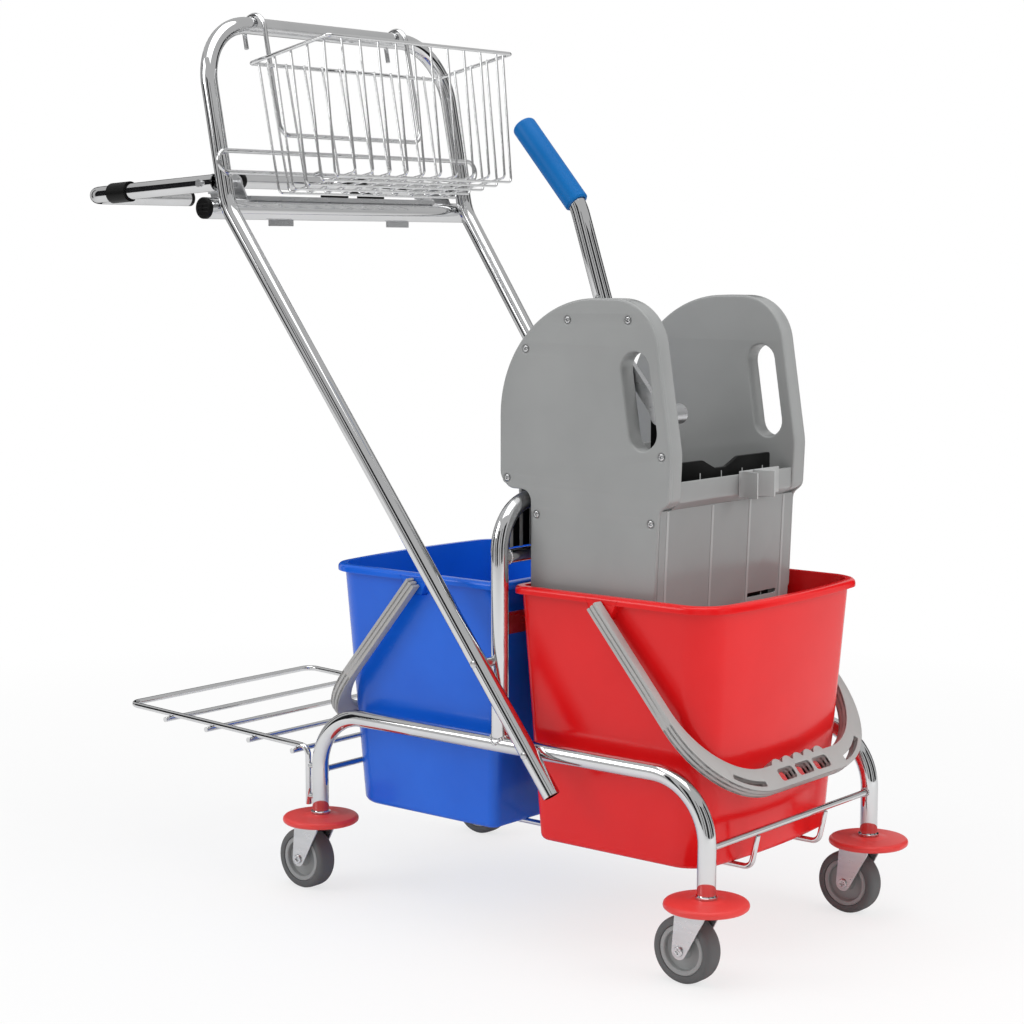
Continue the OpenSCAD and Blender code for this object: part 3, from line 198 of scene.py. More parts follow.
def dark_flag(name, azimuth, width):
    """A dark upright card round the object that only mirror-like rays see."""
    bm = bmesh.new()
    turn = math.radians(azimuth)
    middle = Matrix.Translation((FLAG_AWAY * math.sin(turn), -FLAG_AWAY * math.cos(turn), FLAG_TOP / 2))
    stand = Matrix.Rotation(turn, 4, "Z") @ Matrix.Rotation(math.radians(90), 4, "X")
    size = Matrix.Diagonal((width / 2, FLAG_TOP / 2, 1, 1))
    bmesh.ops.create_grid(bm, x_segments=1, y_segments=1, size=1, matrix=middle @ stand @ size)
    card = stage_mesh(name, bm)
    card.visible_camera = False
    card.visible_diffuse = False
    card.visible_shadow = False
    card.visible_transmission = False
    mat = bpy.data.materials.new(name)
    mat.use_nodes = True
    preset(mat.node_tree.nodes["Principled BSDF"],
        {"Base Color": FLAG_PAINT, "Roughness": 1.0, "Specular IOR Level": 0.0})
    card.data.materials.append(mat)


studio_world()
studio_floor()
soft_lamp("lamp_top", (0.2, -0.3, 3.2), (0.1, 0, 0.4), 2.6, 36)
soft_lamp("lamp_key", (-1.6, -2.6, 2.2), (0.1, 0, 0.5), 1.6, 26)
soft_lamp("lamp_fill", (3.0, 0.4, 1.8), (0.1, 0, 0.5), 1.8, 30, False)
for number, (azimuth, width) in enumerate(FLAGS):
    dark_flag(f"flag_{number}", azimuth, width)
print("lamps and flags ready")

# %% [markdown]
# Every finish is a small node tree on Object coordinates, so it stays put when a piece moves. One helper
# makes the common part: a slow noise that shifts the gloss, a fine noise that gives the surface its grain,
# and, where the real surface has it, a faint drift of the colour. Values that are the same all over are
# set on the shader's own sockets.

# %% Finishes
FINISHES = {}
NOISE_LOW, NOISE_HIGH, GRAIN_DEEP = 0.3, 0.7, 0.0004


def noise(tree, place, scale, detail, stretch):
    mapping = add_node(tree, "Mapping", {"Scale": stretch})
    texture = add_node(tree, "TexNoise", {"Scale": scale, "Detail": detail})
    tree.links.new(place, mapping.inputs["Vector"])
    tree.links.new(mapping.outputs["Vector"], texture.inputs["Vector"])
    return texture.outputs["Fac"]


def spread(tree, value, low, high):
    """Maps the range that a noise mostly keeps to, to the range from low to high."""
    span = add_node(tree, "MapRange",
        {"From Min": NOISE_LOW, "From Max": NOISE_HIGH, "To Min": low, "To Max": high})
    tree.links.new(value, span.inputs["Value"])
    return span.outputs["Result"]


def drift(tree, value, dark, light):
    mix = add_node(tree, "Mix")
    mix.data_type = "RGBA"
    preset(mix, {"A": (*dark, 1), "B": (*light, 1)})
    tree.links.new(spread(tree, value, 0, 1), mix.inputs["Factor"])
    return mix.outputs["Result"]


def finish(slot, dark, light, gloss, grain, bump, metallic=0.0, stretch=(1, 1, 1), slow=9.0, shine=0.5):
    """dark and light bound the colour's drift, gloss the roughness; grain is the fine noise's scale."""
    mat = bpy.data.materials.new(slot)
    mat.use_nodes = True
    tree = mat.node_tree
    shader = preset(tree.nodes["Principled BSDF"], {"Metallic": metallic, "Specular IOR Level": shine})
    place = add_node(tree, "TexCoord").outputs["Object"]
    wide = noise(tree, place, slow, 3, stretch)
    fine = noise(tree, place, grain, 4, stretch)
    tree.links.new(drift(tree, wide, dark, light), shader.inputs["Base Color"])
    tree.links.new(spread(tree, fine if metallic else wide, *gloss), shader.inputs["Roughness"])
    relief = add_node(tree, "Bump", {"Strength": bump, "Distance": GRAIN_DEEP})
    tree.links.new(fine, relief.inputs["Height"])
    tree.links.new(relief.outputs["Normal"], shader.inputs["Normal"])
    FINISHES[slot] = mat


finish("chrome", (0.68, 0.685, 0.69), (0.73, 0.733, 0.738), (0.03, 0.07), 60, 0.02, metallic=1.0, slow=14)
finish("wire_bright", (0.76, 0.765, 0.77), (0.82, 0.823, 0.828), (0.07, 0.12), 60, 0.02, metallic=1.0,
    slow=14)
finish("steel_sheet", (0.6, 0.61, 0.62), (0.68, 0.68, 0.69), (0.26, 0.34), 60, 0.02, metallic=1.0,
    stretch=(1, 1, 6), slow=20)
finish("red_plastic", (0.78, 0.007, 0.009), (0.84, 0.011, 0.013), (0.16, 0.22), 220, 0.03, shine=0.36)
# A lighter copy of the wringer's grey that paints light: on the tool clip where it lies in the near cheek's
# shadow, and as highlights along the tub's ridges and the press plate's ribs.
finish("painted_light_grey", (0.43, 0.438, 0.436), (0.46, 0.468, 0.466), (0.2, 0.27), 700, 0.03)
finish("bumper_red", (0.76, 0.05, 0.047), (0.82, 0.06, 0.055), (0.3, 0.4), 300, 0.05, shine=0.4)
finish("blue_plastic", (0.006, 0.12, 0.7), (0.009, 0.145, 0.78), (0.16, 0.22), 220, 0.03, shine=0.36)
finish("wringer_grey", (0.315, 0.322, 0.32), (0.345, 0.352, 0.35), (0.2, 0.27), 700, 0.03)
finish("bail_grey", (0.42, 0.415, 0.407), (0.46, 0.452, 0.443), (0.28, 0.38), 500, 0.06)
finish("black_plastic", (0.003, 0.003, 0.003), (0.005, 0.005, 0.005), (0.3, 0.42), 500, 0.1, shine=0.14)
finish("grip_blue", (0.001, 0.125, 0.4), (0.002, 0.15, 0.46), (0.34, 0.44), 600, 0.1, shine=0.16)
finish("hub_grey", (0.3, 0.31, 0.31), (0.35, 0.36, 0.36), (0.34, 0.46), 500, 0.08)
finish("tyre_grey", (0.1, 0.103, 0.105), (0.13, 0.133, 0.135), (0.55, 0.75), 900, 0.25)
for name, solid in solids.items():
    solid.data.materials.clear()
    solid.data.materials.append(FINISHES[slot_of[name]])
print("finishes:", sorted(FINISHES))

# %% [markdown]
# A finished bmesh becomes an object at the origin with its place in its mesh. It rides on the body of the
# solid it stands for, takes that solid's material slot, and the solid is hidden. A piece that stands for
# no solid is given its slot and body by name.

# %% From a bmesh to a piece
SMOOTH_UP_TO = math.radians(38)
VERT, EDGE = bmesh.types.BMVert, bmesh.types.BMEdge


def piece(bm, name, *stands_for, slot=None, body=None, look=None):
    mesh = bpy.data.meshes.new(name)
    bm.to_mesh(mesh)
    bm.free()
    mesh.shade_smooth()
    mesh.set_sharp_from_angle(angle=SMOOTH_UP_TO)
    obj = bpy.data.objects.new(name, mesh)
    scene.collection.objects.link(obj)
    slot = slot or slot_of[stands_for[0]]
    mesh.materials.append(FINISHES[look or slot])
    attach(obj, body or body_of[stands_for[0]])
    if stands_for:
        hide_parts(*stands_for)
    print(name, "faces:", len(mesh.polygons))
    return obj


def only(kind, geom):
    return [g for g in geom if isinstance(g, kind)]


def joined(*parts):
    """Several bmeshes as one, each shell kept as it is."""
    whole = parts[0]
    for part in parts[1:]:
        mesh = bpy.data.meshes.new("part")
        part.to_mesh(mesh)
        part.free()
        whole.from_mesh(mesh)
        bpy.data.meshes.remove(mesh)
    return whole


def mirrored(bm, axis):
    """A copy of a bmesh mirrored in the plane through the chassis' middle."""
    copy = bm.copy()
    middle = Vector((CHASSIS_X, 0, 0))
    scale = Vector((-1, 1, 1)) if axis == "X" else Vector((1, -1, 1))
    bmesh.ops.scale(copy, vec=scale, space=Matrix.Translation(-middle), verts=copy.verts)
    bmesh.ops.reverse_faces(copy, faces=copy.faces)
    return copy


# %% [markdown]
# A bent tube is what a pipe bender makes of a straight one: straight runs and round bends. A ring is
# extruded along each run and spun about the bend's centre, so a bend is truly round and its rings lie
# square to the path. An open end gets a wall and a short bore, a wire's end is only rounded off.

# %% Tubes and wires
BORE_DEEP, END_ROUND, BEND_STEP, WIRE_SIDES = 3, 0.25, 5, 20


def make_end(bm, ring, outward, radius, wall):
    """Closes a tube's end. The bore's depth and the end's rounding are shares of the radius."""
    cap = bmesh.ops.contextual_create(bm, geom=ring)["faces"]
    if wall:
        bmesh.ops.inset_region(bm, faces=cap, thickness=wall, use_even_offset=True)
        inner = bmesh.ops.extrude_face_region(bm, geom=cap)["geom"]
        bmesh.ops.delete(bm, geom=cap, context="FACES")
        bmesh.ops.translate(bm, vec=-outward * BORE_DEEP * radius, verts=only(VERT, inner))
    else:
        bmesh.ops.bevel(bm, geom=ring, offset=END_ROUND * radius, offset_type="OFFSET", segments=2,
            profile=0.5, affect="EDGES", material=-1)


def tube(path, bends, diameter, wall=0.0, sides=28):
    """path holds points in the part's frame, bends one radius in millimetres for each inner point."""
    bm = bmesh.new()
    radius = diameter * MM / 2
    start = (path[1] - path[0]).normalized()
    turn_to = start.to_track_quat("Z", "Y").to_matrix().to_4x4()
    bmesh.ops.create_circle(bm, cap_ends=False, radius=radius, segments=sides,
        matrix=Matrix.Translation(path[0]) @ turn_to)
    first = list(bm.edges)
    ring = list(bm.edges)
    here = path[0]
    for number, corner in enumerate(path[1:], start=1):
        heading = (corner - path[number - 1]).normalized()
        last = number == len(path) - 1
        after = heading if last else (path[number + 1] - corner).normalized()
        angle = heading.angle(after, 0.0)
        bend = 0.0 if last else bends[number - 1] * MM
        run = corner - heading * bend * math.tan(angle / 2)
        grown = bmesh.ops.extrude_edge_only(bm, edges=ring)["geom"]
        bmesh.ops.translate(bm, vec=run - here, verts=only(VERT, grown))
        ring = only(EDGE, grown)
        here = run
        if not last:
            inward = (after - heading * after.dot(heading)).normalized()
            verts = list(dict.fromkeys(v for e in ring for v in e.verts))
            steps = max(3, math.ceil(math.degrees(angle) / BEND_STEP))
            grown = bmesh.ops.spin(bm, geom=verts + ring, cent=run + inward * bend,
                axis=heading.cross(inward), dvec=(0, 0, 0), angle=angle, steps=steps, use_merge=False,
                use_duplicate=False)["geom_last"]
            ring = only(EDGE, grown)
            here = corner + after * bend * math.tan(angle / 2)
    off = (sum((v.co for e in ring for v in e.verts), Vector()) / (2 * len(ring)) - path[-1]).length
    assert off < 1e-4, off
    make_end(bm, first, -start, radius, wall * MM)
    make_end(bm, ring, heading, radius, wall * MM)
    bmesh.ops.recalc_face_normals(bm, faces=bm.faces)
    return bm


TUBE_D, TUBE_WALL = 22, 1.6
LEG_X, LEG_Y, SIDE_Z, SIDE_BEND = 307.5, 180.3, 240, 75
BUMPER_TOP = 104
ARCH_Z, ARCH_BEND, ARCH_FOOT = 537, 60, SIDE_Z + TUBE_D / 2 - 3


def side_tube(side):
    corners = [(-LEG_X, BUMPER_TOP), (-LEG_X, SIDE_Z), (LEG_X, SIDE_Z), (LEG_X, BUMPER_TOP)]
    return tube([at(x, side * LEG_Y, z) for x, z in corners], [SIDE_BEND, SIDE_BEND], TUBE_D)


piece(side_tube(-1), "side_rail_near", "side_tube_near")
piece(side_tube(1), "side_rail_far", "side_tube_far")
arch_corners = [(-LEG_Y, ARCH_FOOT), (-LEG_Y, ARCH_Z), (LEG_Y, ARCH_Z), (LEG_Y, ARCH_FOOT)]
arch_path = [at(0, y, z) for y, z in arch_corners]
piece(tube(arch_path, [ARCH_BEND, ARCH_BEND], TUBE_D), "arch_tube", "wringer_arch")

FOOT, KNEE, TOP = (98, 200.731, 194), (-410.537, 233.836, 896), (-458.094, 233.836, 1134)
HANDLE_BENDS = [70, 85, 85, 70]
handle_path = [at(x, -y, z) for x, y, z in (FOOT, KNEE, TOP)]
handle_path += [at(x, y, z) for x, y, z in (TOP, KNEE, FOOT)]
piece(tube(handle_path, HANDLE_BENDS, TUBE_D, TUBE_WALL), "handle_tube", "handle_frame")

PLATFORM_X, PLATFORM_Z, PLATFORM_LEN, PLATFORM_RISE = -329.5, 189, 354, 12
PLATFORM_D, PLATFORM_FOOT, PLATFORM_BENDS = 8, BUMPER_TOP + 8, [12, 16, 16, 12]
platform_side = [(PLATFORM_X, PLATFORM_FOOT), (PLATFORM_X, PLATFORM_Z),
    (PLATFORM_X - PLATFORM_LEN, PLATFORM_Z + PLATFORM_RISE)]
platform_path = [at(x, -LEG_Y, z) for x, z in platform_side]
platform_path += [at(x, LEG_Y, z) for x, z in reversed(platform_side)]
piece(tube(platform_path, PLATFORM_BENDS, PLATFORM_D, sides=WIRE_SIDES), "platform_loop", "platform_frame")

CRADLE_X, CRADLE_Y, CRADLE_Z, CRADLE_TOP, CRADLE_BEND, CRADLE_D = 298.5, 75, 116, 156.2, 12, 7


def cradle_wire(side):
    corners = [(-LEG_X, CRADLE_TOP), (-CRADLE_X, CRADLE_Z), (CRADLE_X, CRADLE_Z), (LEG_X, CRADLE_TOP)]
    path = [at(x, side * CRADLE_Y, z) for x, z in corners]
    return tube(path, [CRADLE_BEND, CRADLE_BEND], CRADLE_D, sides=WIRE_SIDES)


piece(joined(cradle_wire(-1), cradle_wire(1)), "cradle_hooks", "cradle_wires")

# %% [markdown]
# The lever is the same tube with a slow bend, pushed into a welded boss on the wringer's shaft. Its grip
# is a soft blue sleeve: a turned shape with a rounded end, so a short profile is spun round the lever's
# own line. The flat heads of the handle's bolts are spun the same way.

# %% Lever, handle bolts and grip
SHAFT_X, SHAFT_Z, LEVER_Y, SOCKET = 105, 750, 100, 15.1
LOW_LEAN, LOW_LEN, LEVER_BEND = math.radians(18.6), 152, 60
HIGH_LEAN, GRIP_LEN, GRIP_R = math.radians(41.3), 128, 15
lever_low = Vector((-math.sin(LOW_LEAN), 0, math.cos(LOW_LEAN)))
lever_high = Vector((-math.sin(HIGH_LEAN), 0, math.cos(HIGH_LEAN)))
lever_foot = at(SHAFT_X, -LEVER_Y, SHAFT_Z)
lever_knee = lever_foot + lever_low * LOW_LEN * MM
lever_tip = lever_knee + lever_high * (GRIP_LEN - 1) * MM
lever_path = [lever_foot + lever_low * SOCKET * MM, lever_knee, lever_tip]
piece(tube(lever_path, [LEVER_BEND], TUBE_D), "lever_arm", "lever_tube")


def turned(profile, base, axis, steps=40):
    """Spins a profile of (radius, height) in millimetres about an axis through base."""
    bm = bmesh.new()
    side = axis.orthogonal().normalized()
    verts = [bm.verts.new(base + side * r * MM + axis * h * MM) for r, h in profile]
    edges = [bm.edges.new(pair) for pair in zip(verts, verts[1:])]
    bmesh.ops.spin(bm, geom=verts + edges, cent=base, axis=axis, dvec=(0, 0, 0), angle=math.tau,
        steps=steps, use_merge=True, use_duplicate=False)
    bmesh.ops.remove_doubles(bm, verts=bm.verts, dist=1e-6)
    bmesh.ops.recalc_face_normals(bm, faces=bm.faces)
    return bm


def both_ways(half):
    """A profile that is the same on both sides of its middle."""
    return half + [(r, -h) for r, h in reversed(half)]


def rounded_end(radius, height, corner, steps=5):
    """Profile points of a rounded edge that ends a turned shape at that height."""
    return [(radius - corner + corner * math.cos(a), height - corner + corner * math.sin(a))
        for a in (math.radians(90 * i / steps) for i in range(steps + 1))]


BOLT_Z, BOLT_D, HEAD_R, HEAD_OUT, HEAD_SEAT = 343, 12, 4.6, 1.1, 0.1
head_profile = [(HEAD_R, 0), (HEAD_R, HEAD_OUT - 0.6), (HEAD_R - 0.7, HEAD_OUT), (0, HEAD_OUT + 0.2)]
bolts = []
for z, part_way in ((BOLT_Z, 0.5), (SIDE_Z, 1)):  # the upper one stands half way to the arch's post
    share = (z - FOOT[2]) / (KNEE[2] - FOOT[2])
    x, y = (low + (high - low) * share for low, high in zip(FOOT[:2], KNEE[:2]))
    bolts.append(tube([at(x * part_way, -y, z), at(x * part_way, -LEG_Y, z)], [], BOLT_D))
    bolts.append(turned(head_profile, at(x, -y - TUBE_D / 2 + HEAD_SEAT, z), NEAR, 32))
bolts += [mirrored(one, "Y") for one in bolts]
piece(joined(*bolts), "handle_bolt_set", "handle_bolts")

grip_profile = [(TUBE_D / 2 + 0.2, 4 - GRIP_LEN), (GRIP_R - 1.5, 4 - GRIP_LEN), (GRIP_R, 5.5 - GRIP_LEN),
    (GRIP_R, -40)] + rounded_end(GRIP_R, 4, 5) + [(4, 4), (3, 2.5), (0, 2.5)]
piece(turned(grip_profile, lever_tip, lever_high), "grip_sleeve", "lever_grip")

# %% [markdown]
# Each bucket is one injection moulding: a tapered box with rounded corners, a bowed outer end, thin walls
# and a turned-over lip. A cube is pulled to the eight corners, its upright edges are bevelled into the
# corner rounds, the outer end is cut into strips and bowed, and the lip is extruded from the open top.
# The wall then grows inwards, so the outside keeps its measure.

# %% Buckets
BUCKET_Z, RIM_Z = 119.8, 435.8
LIP_W, LIP_DROP, LIP_ROUND, WALL = 9, 9, 2.2, 3
TOP_PLAN = {"inner": 14, "outer": 294, "half": 163}
FOOT_PLAN = {"inner": 34, "outer": 272, "half": 150}
INNER_ROUND, OUTER_ROUND, FOOT_ROUND, EDGE_SOFT = 14, 35, 8, 0.9
BOW, BOW_FROM, BOW_CUT, BOW_TO, BOW_CUTS = 13.4, 150, 200, 284, 9
EAR_X, PIN_Z, EAR_ROUND = 148, 419.8, 1.2
EAR_HALF_TOP, EAR_HALF_LOW, EAR_UNDER, EAR_BELOW = 23, 13, 4, 10
LONG_EDGE, SQUARE_CORNER = 0.1, 1.2


def bevel(bm, edges, offset, segments=2):
    bmesh.ops.bevel(bm, geom=edges, offset=offset * MM, offset_type="OFFSET", segments=segments,
        profile=0.5, affect="EDGES", material=-1)


def runs_along(edge, axis):
    return abs(edge.verts[0].co[axis] - edge.verts[1].co[axis]) > LONG_EDGE


def bucket_box():
    bm = bmesh.new()
    bmesh.ops.create_cube(bm, size=1)
    for vert in bm.verts:
        plan = TOP_PLAN if vert.co.z > 0 else FOOT_PLAN
        x = plan["outer"] if vert.co.x > 0 else plan["inner"]
        y = math.copysign(plan["half"], vert.co.y)
        vert.co = at(x, y, RIM_Z - WALL if vert.co.z > 0 else BUCKET_Z)
    middle = at(BOW_FROM, 0, 0).x
    bevel(bm, [e for e in bm.edges if runs_along(e, 2) and e.verts[0].co.x < middle], INNER_ROUND, 8)
    outer = [e for e in bm.edges if runs_along(e, 2) and e.calc_face_angle() > SQUARE_CORNER]
    bevel(bm, outer, OUTER_ROUND, 12)
    return bm


def bow_outer_end(bm):
    across = [e for e in bm.edges if runs_along(e, 1) and e.verts[0].co.x > at(BOW_CUT, 0, 0).x]
    bmesh.ops.subdivide_edges(bm, edges=across, cuts=BOW_CUTS, use_grid_fill=True)
    start, end = at(BOW_FROM, 0, 0).x, at(BOW_TO, 0, 0).x
    for vert in bm.verts:
        share = max(0.0, min(1.0, (vert.co.x - start) / (end - start)))
        widening = (TOP_PLAN["half"] - FOOT_PLAN["half"]) * (vert.co.z / MM - BUCKET_Z)
        half = FOOT_PLAN["half"] + widening / (RIM_Z - BUCKET_Z)
        vert.co.x += BOW * MM * share * max(0.0, 1 - (vert.co.y / MM / half) ** 2)


def spot(vert):
    """A vertex's place as a key, so that a copy in the same place can be found."""
    return tuple(round(c, 6) for c in vert.co)


def turn_out_lip(bm):
    top = [f for f in bm.faces if f.normal.z > 0.9]
    bmesh.ops.delete(bm, geom=top, context="FACES_ONLY")
    loop = [e for e in bm.edges if e.is_boundary]
    outward = {}
    for vert in (v for e in loop for v in e.verts):
        flat = sum((f.normal for f in vert.link_faces), Vector())
        outward[spot(vert)] = Vector((flat.x, flat.y, 0)).normalized()
    grown = bmesh.ops.extrude_edge_only(bm, edges=loop)["geom"]
    for vert in only(VERT, grown):
        vert.co += outward[spot(vert)] * (LIP_W - WALL) * MM
    loop = [e for e in only(EDGE, grown) if e.is_boundary]
    grown = bmesh.ops.extrude_edge_only(bm, edges=loop)["geom"]
    bmesh.ops.translate(bm, vec=(0, 0, -(LIP_DROP - WALL) * MM), verts=only(VERT, grown))
    bevel(bm, loop, LIP_ROUND, 3)


def ear(side):
    """A wedge under the lip that carries the bail's pin."""
    bm = bmesh.new()
    bmesh.ops.create_cube(bm, size=1)
    for vert in bm.verts:
        high = vert.co.z > 0
        x = math.copysign(EAR_HALF_TOP if high else EAR_HALF_LOW, vert.co.x)
        y = TOP_PLAN["half"] + (LIP_W - 0.8 if vert.co.y > 0 else -6)
        vert.co = at(EAR_X + x, side * y, RIM_Z - EAR_UNDER if high else PIN_Z - EAR_BELOW)
    bevel(bm, list(bm.edges), EAR_ROUND)
    bmesh.ops.recalc_face_normals(bm, faces=bm.faces)
    return bm


def bucket():
    bm = bucket_box()
    bow_outer_end(bm)
    bottom = [e for e in bm.edges if all(abs(v.co.z - BUCKET_Z * MM) < 1e-6 for v in e.verts)
        and any(abs(f.normal.z) < 0.7 for f in e.link_faces)]
    bevel(bm, bottom, FOOT_ROUND, 4)
    turn_out_lip(bm)
    bmesh.ops.recalc_face_normals(bm, faces=bm.faces)
    bmesh.ops.solidify(bm, geom=list(bm.faces), thickness=-WALL * MM)
    return joined(bm, ear(-1), ear(1))


red = bucket()
blue = mirrored(red, "X")
for shell, colour in ((red, "red"), (blue, "blue")):
    made = piece(shell, f"{colour}_shell", f"{colour}_bucket")
    soften = made.modifiers.new("soft edges", "BEVEL")
    soften.width = EDGE_SOFT * MM
    soften.segments = 2
    soften.limit_method = "ANGLE"
    soften.angle_limit = math.radians(50)

# %% [markdown]
# Flat mouldings, such as the bails and the wringer's cheeks, are an outline with holes and a rounded edge
# all round. A filled flat curve makes exactly that: it takes the holes as they are, gives the plate its
# thickness and rounds both edges. It is turned into a mesh before it is put in its place.

# %% Flat mouldings from outlines
def arc(cx, cy, radius, start, end, steps=10):
    return [(cx + radius * math.cos(a), cy + radius * math.sin(a))
        for a in (math.radians(start + (end - start) * i / steps) for i in range(steps + 1))]


def circle(cx, cy, radius):
    return arc(cx, cy, radius, 0, 345, 23)


def rectangle(x, y):
    return [(x[0], y[0]), (x[1], y[0]), (x[1], y[1]), (x[0], y[1])]


def softened(points, radius, steps=5):
    """Rounds every corner of a closed outline with the same radius."""
    out = []
    for here, before, after in zip(points, points[-1:] + points[:-1], points[1:] + points[:1]):
        p, a, b = Vector(here), Vector(before), Vector(after)
        to_a, to_b = (a - p), (b - p)
        reach = min(radius, 0.45 * to_a.length, 0.45 * to_b.length)
        start, end = p + to_a.normalized() * reach, p + to_b.normalized() * reach
        for i in range(steps + 1):
            t = i / steps
            out.append(tuple(start * (1 - t) ** 2 + p * 2 * t * (1 - t) + end * t ** 2))
    return out


def plate(outlines, thickness, round_over, place, inset=0.0, steps=3):
    """A flat moulding in millimetres in its own XY plane, moved to its place in the part's frame."""
    curve = bpy.data.curves.new("outline", "CURVE")
    curve.dimensions = "2D"
    curve.fill_mode = "BOTH"
    curve.extrude = thickness / 2 - round_over
    curve.bevel_depth = round_over
    curve.bevel_resolution = steps
    curve.offset = -round_over - inset
    for outline in outlines:
        spline = curve.splines.new("POLY")
        spline.points.add(len(outline) - 1)
        for point, (x, y) in zip(spline.points, outline):
            point.co = (x, y, 0, 1)
        spline.use_cyclic_u = True
    holder = bpy.data.objects.new("outline", curve)
    scene.collection.objects.link(holder)
    mesh = bpy.data.meshes.new_from_object(holder)
    bm = bmesh.new()
    bm.from_mesh(mesh)
    bpy.data.objects.remove(holder)
    bpy.data.meshes.remove(mesh)
    bpy.data.curves.remove(curve)
    bmesh.ops.remove_doubles(bm, verts=bm.verts, dist=0.001)
    bmesh.ops.recalc_face_normals(bm, faces=bm.faces)
    bmesh.ops.transform(bm, matrix=place @ Matrix.Scale(MM, 4), verts=bm.verts)
    return bm


# %% [markdown]
# The bail is a grey plastic strap bent to a wide U. Its arms carry two grooves, its grip has a row of
# windows between two rails, and the inner rail swells between the fingers. Three thin plates over a core
# that is set back along the arms leave the two grooves.

# %% Bails
BAIL_IN, BAIL_W, BAIL_LEN, BAIL_CORNER, GRIP_W, BAIL_T = 173.3, 12, 276, 113, 30, 16
BAIL_HANG = math.radians(49.41)
ARM_START, GROOVE_END, GROOVE_DEEP = -8, 110, 1.6
FINGERS, FINGER_PITCH, FINGER_R = 5, 23, 11.5
WINDOWS_Y, WINDOW_HALF, WINDOW_RAIL = (-38, 0, 38), 16, 7
STRAP_T, STRAP_LEVELS = 4.2, (-5.9, 0, 5.9)


def bail_outline(set_back):
    """set_back draws the arms' two edges in, up to where the grooves end."""
    out, end = BAIL_IN + BAIL_W, BAIL_LEN - BAIL_CORNER
    low = out - BAIL_CORNER
    inner, reach = BAIL_CORNER - BAIL_W, BAIL_LEN - GRIP_W
    arm_out, arm_in = out - set_back, BAIL_IN + set_back
    near = [(ARM_START + set_back, -arm_out)] + ([(GROOVE_END, -arm_out)] if set_back else []) + [(end, -out)]
    far = [(x, -y) for x, y in reversed(near)]
    corners = arc(end, -low, BAIL_CORNER, -88, 0, 18) + arc(end, low, BAIL_CORNER, 0, 88, 18)
    back = [(ARM_START + set_back, arm_in), (GROOVE_END, arm_in), (reach - inner, BAIL_IN)]
    back += arc(reach - inner, BAIL_IN - inner, inner, 88, 0, 16)
    front = [(x, -y) for x, y in reversed(back)]
    grip = []
    for i in range(FINGERS):
        grip += arc(reach + 5, 46 - FINGER_PITCH * i, FINGER_R, 116, 244, 8)
    return near + corners + far + back + grip + front


def bail_windows():
    along = (BAIL_LEN - GRIP_W + WINDOW_RAIL, BAIL_LEN - WINDOW_RAIL)
    rows = [softened(rectangle(along, (y - WINDOW_HALF, y + WINDOW_HALF)), 5) for y in WINDOWS_Y]
    end, low = BAIL_LEN - BAIL_CORNER, BAIL_IN + BAIL_W - BAIL_CORNER
    slot = arc(end, -low, BAIL_CORNER - 6, -38, -8, 8) + arc(end, -low, BAIL_CORNER - 13, -8, -38, 8)
    return rows + [softened(slot, 2.5), softened([(x, -y) for x, y in reversed(slot)], 2.5)]


def bail():
    place = placed(EAR_X, 0, PIN_Z) @ Matrix.Rotation(BAIL_HANG, 4, "Y")
    layers = [plate([bail_outline(GROOVE_DEEP)] + bail_windows(), BAIL_T - 0.6, 0.4, place, steps=1)]
    for level in STRAP_LEVELS:
        lifted = place @ Matrix.Translation((0, 0, level * MM))
        layers.append(plate([bail_outline(0)] + bail_windows(), STRAP_T, 0.8, lifted, steps=2))
    return joined(*layers)


red_loop = bail()
blue_loop = mirrored(red_loop, "X")
piece(red_loop, "red_bail_strap", "red_bail")
piece(blue_loop, "blue_bail_strap", "blue_bail")

# %% [markdown]
# Each cheek of the wringer is two half shells screwed together. They meet in a fine seam near the outer
# face, their edges are generously rounded, and a long finger slot goes through both. A core fills the
# shells up to a hair below the edge, and a smooth sleeve lines the slot. Each screw sits in a round dimple
# of the outer shell. The far cheek is the near one mirrored.

# %% Wringer cheeks
CHEEK_OUT, CHEEK_IN, SEAM, SEAM_Y = 146, 120, 0.5, -140
FRONT_STEP, SHELL_ROUND, CORE_HALF, SLEEVE_IN = 6, 2.6, 4, 2.2
SLOT_LOW, SLOT_HIGH, SLOT_R = (187, 628), (175.11, 703.06), 20
SCREWS = [(12, 722), (76, 758), (165, 759), (214.5, 602), (-17, 564), (29, 522), (200, 523)]
DIMPLE_R, DIMPLE_DEEP, DIMPLE_FLOOR = 4.6, 1.8, 3
upright = Matrix.Rotation(math.radians(90), 4, "X")


def cheek_outline(set_back=0.0):
    """set_back draws the lower front edge in, behind the tub's front wall."""
    top = arc(116, 639.5, 144.5, 180, 90, 26) + arc(145.8, 722, 62, 90, 9.1, 16)
    nose = [(227.5, 604), (225, 547), (211 - set_back, 537), (206 - set_back, 415), (38, 415), (19.5, 428)]
    corner = arc(5.5, 537, 14, 0, 90, 6)
    return softened(top + nose + corner + [(-14.5, 551), (-28.5, 565)], 7, 3)


def slot_outline(grow=0.0):
    lean = math.degrees(math.atan2(SLOT_LOW[0] - SLOT_HIGH[0], SLOT_HIGH[1] - SLOT_LOW[1]))
    radius = SLOT_R + grow
    low_end = arc(*SLOT_LOW, radius, 180 + lean, 360 + lean, 12)
    return low_end + arc(*SLOT_HIGH, radius, lean, 180 + lean, 12)


def layer(outlines, low_y, high_y, round_over, inset=0.0, steps=4):
    middle = placed(0, (low_y + high_y) / 2, 0) @ upright
    return plate(outlines, high_y - low_y, round_over, middle, inset, steps)


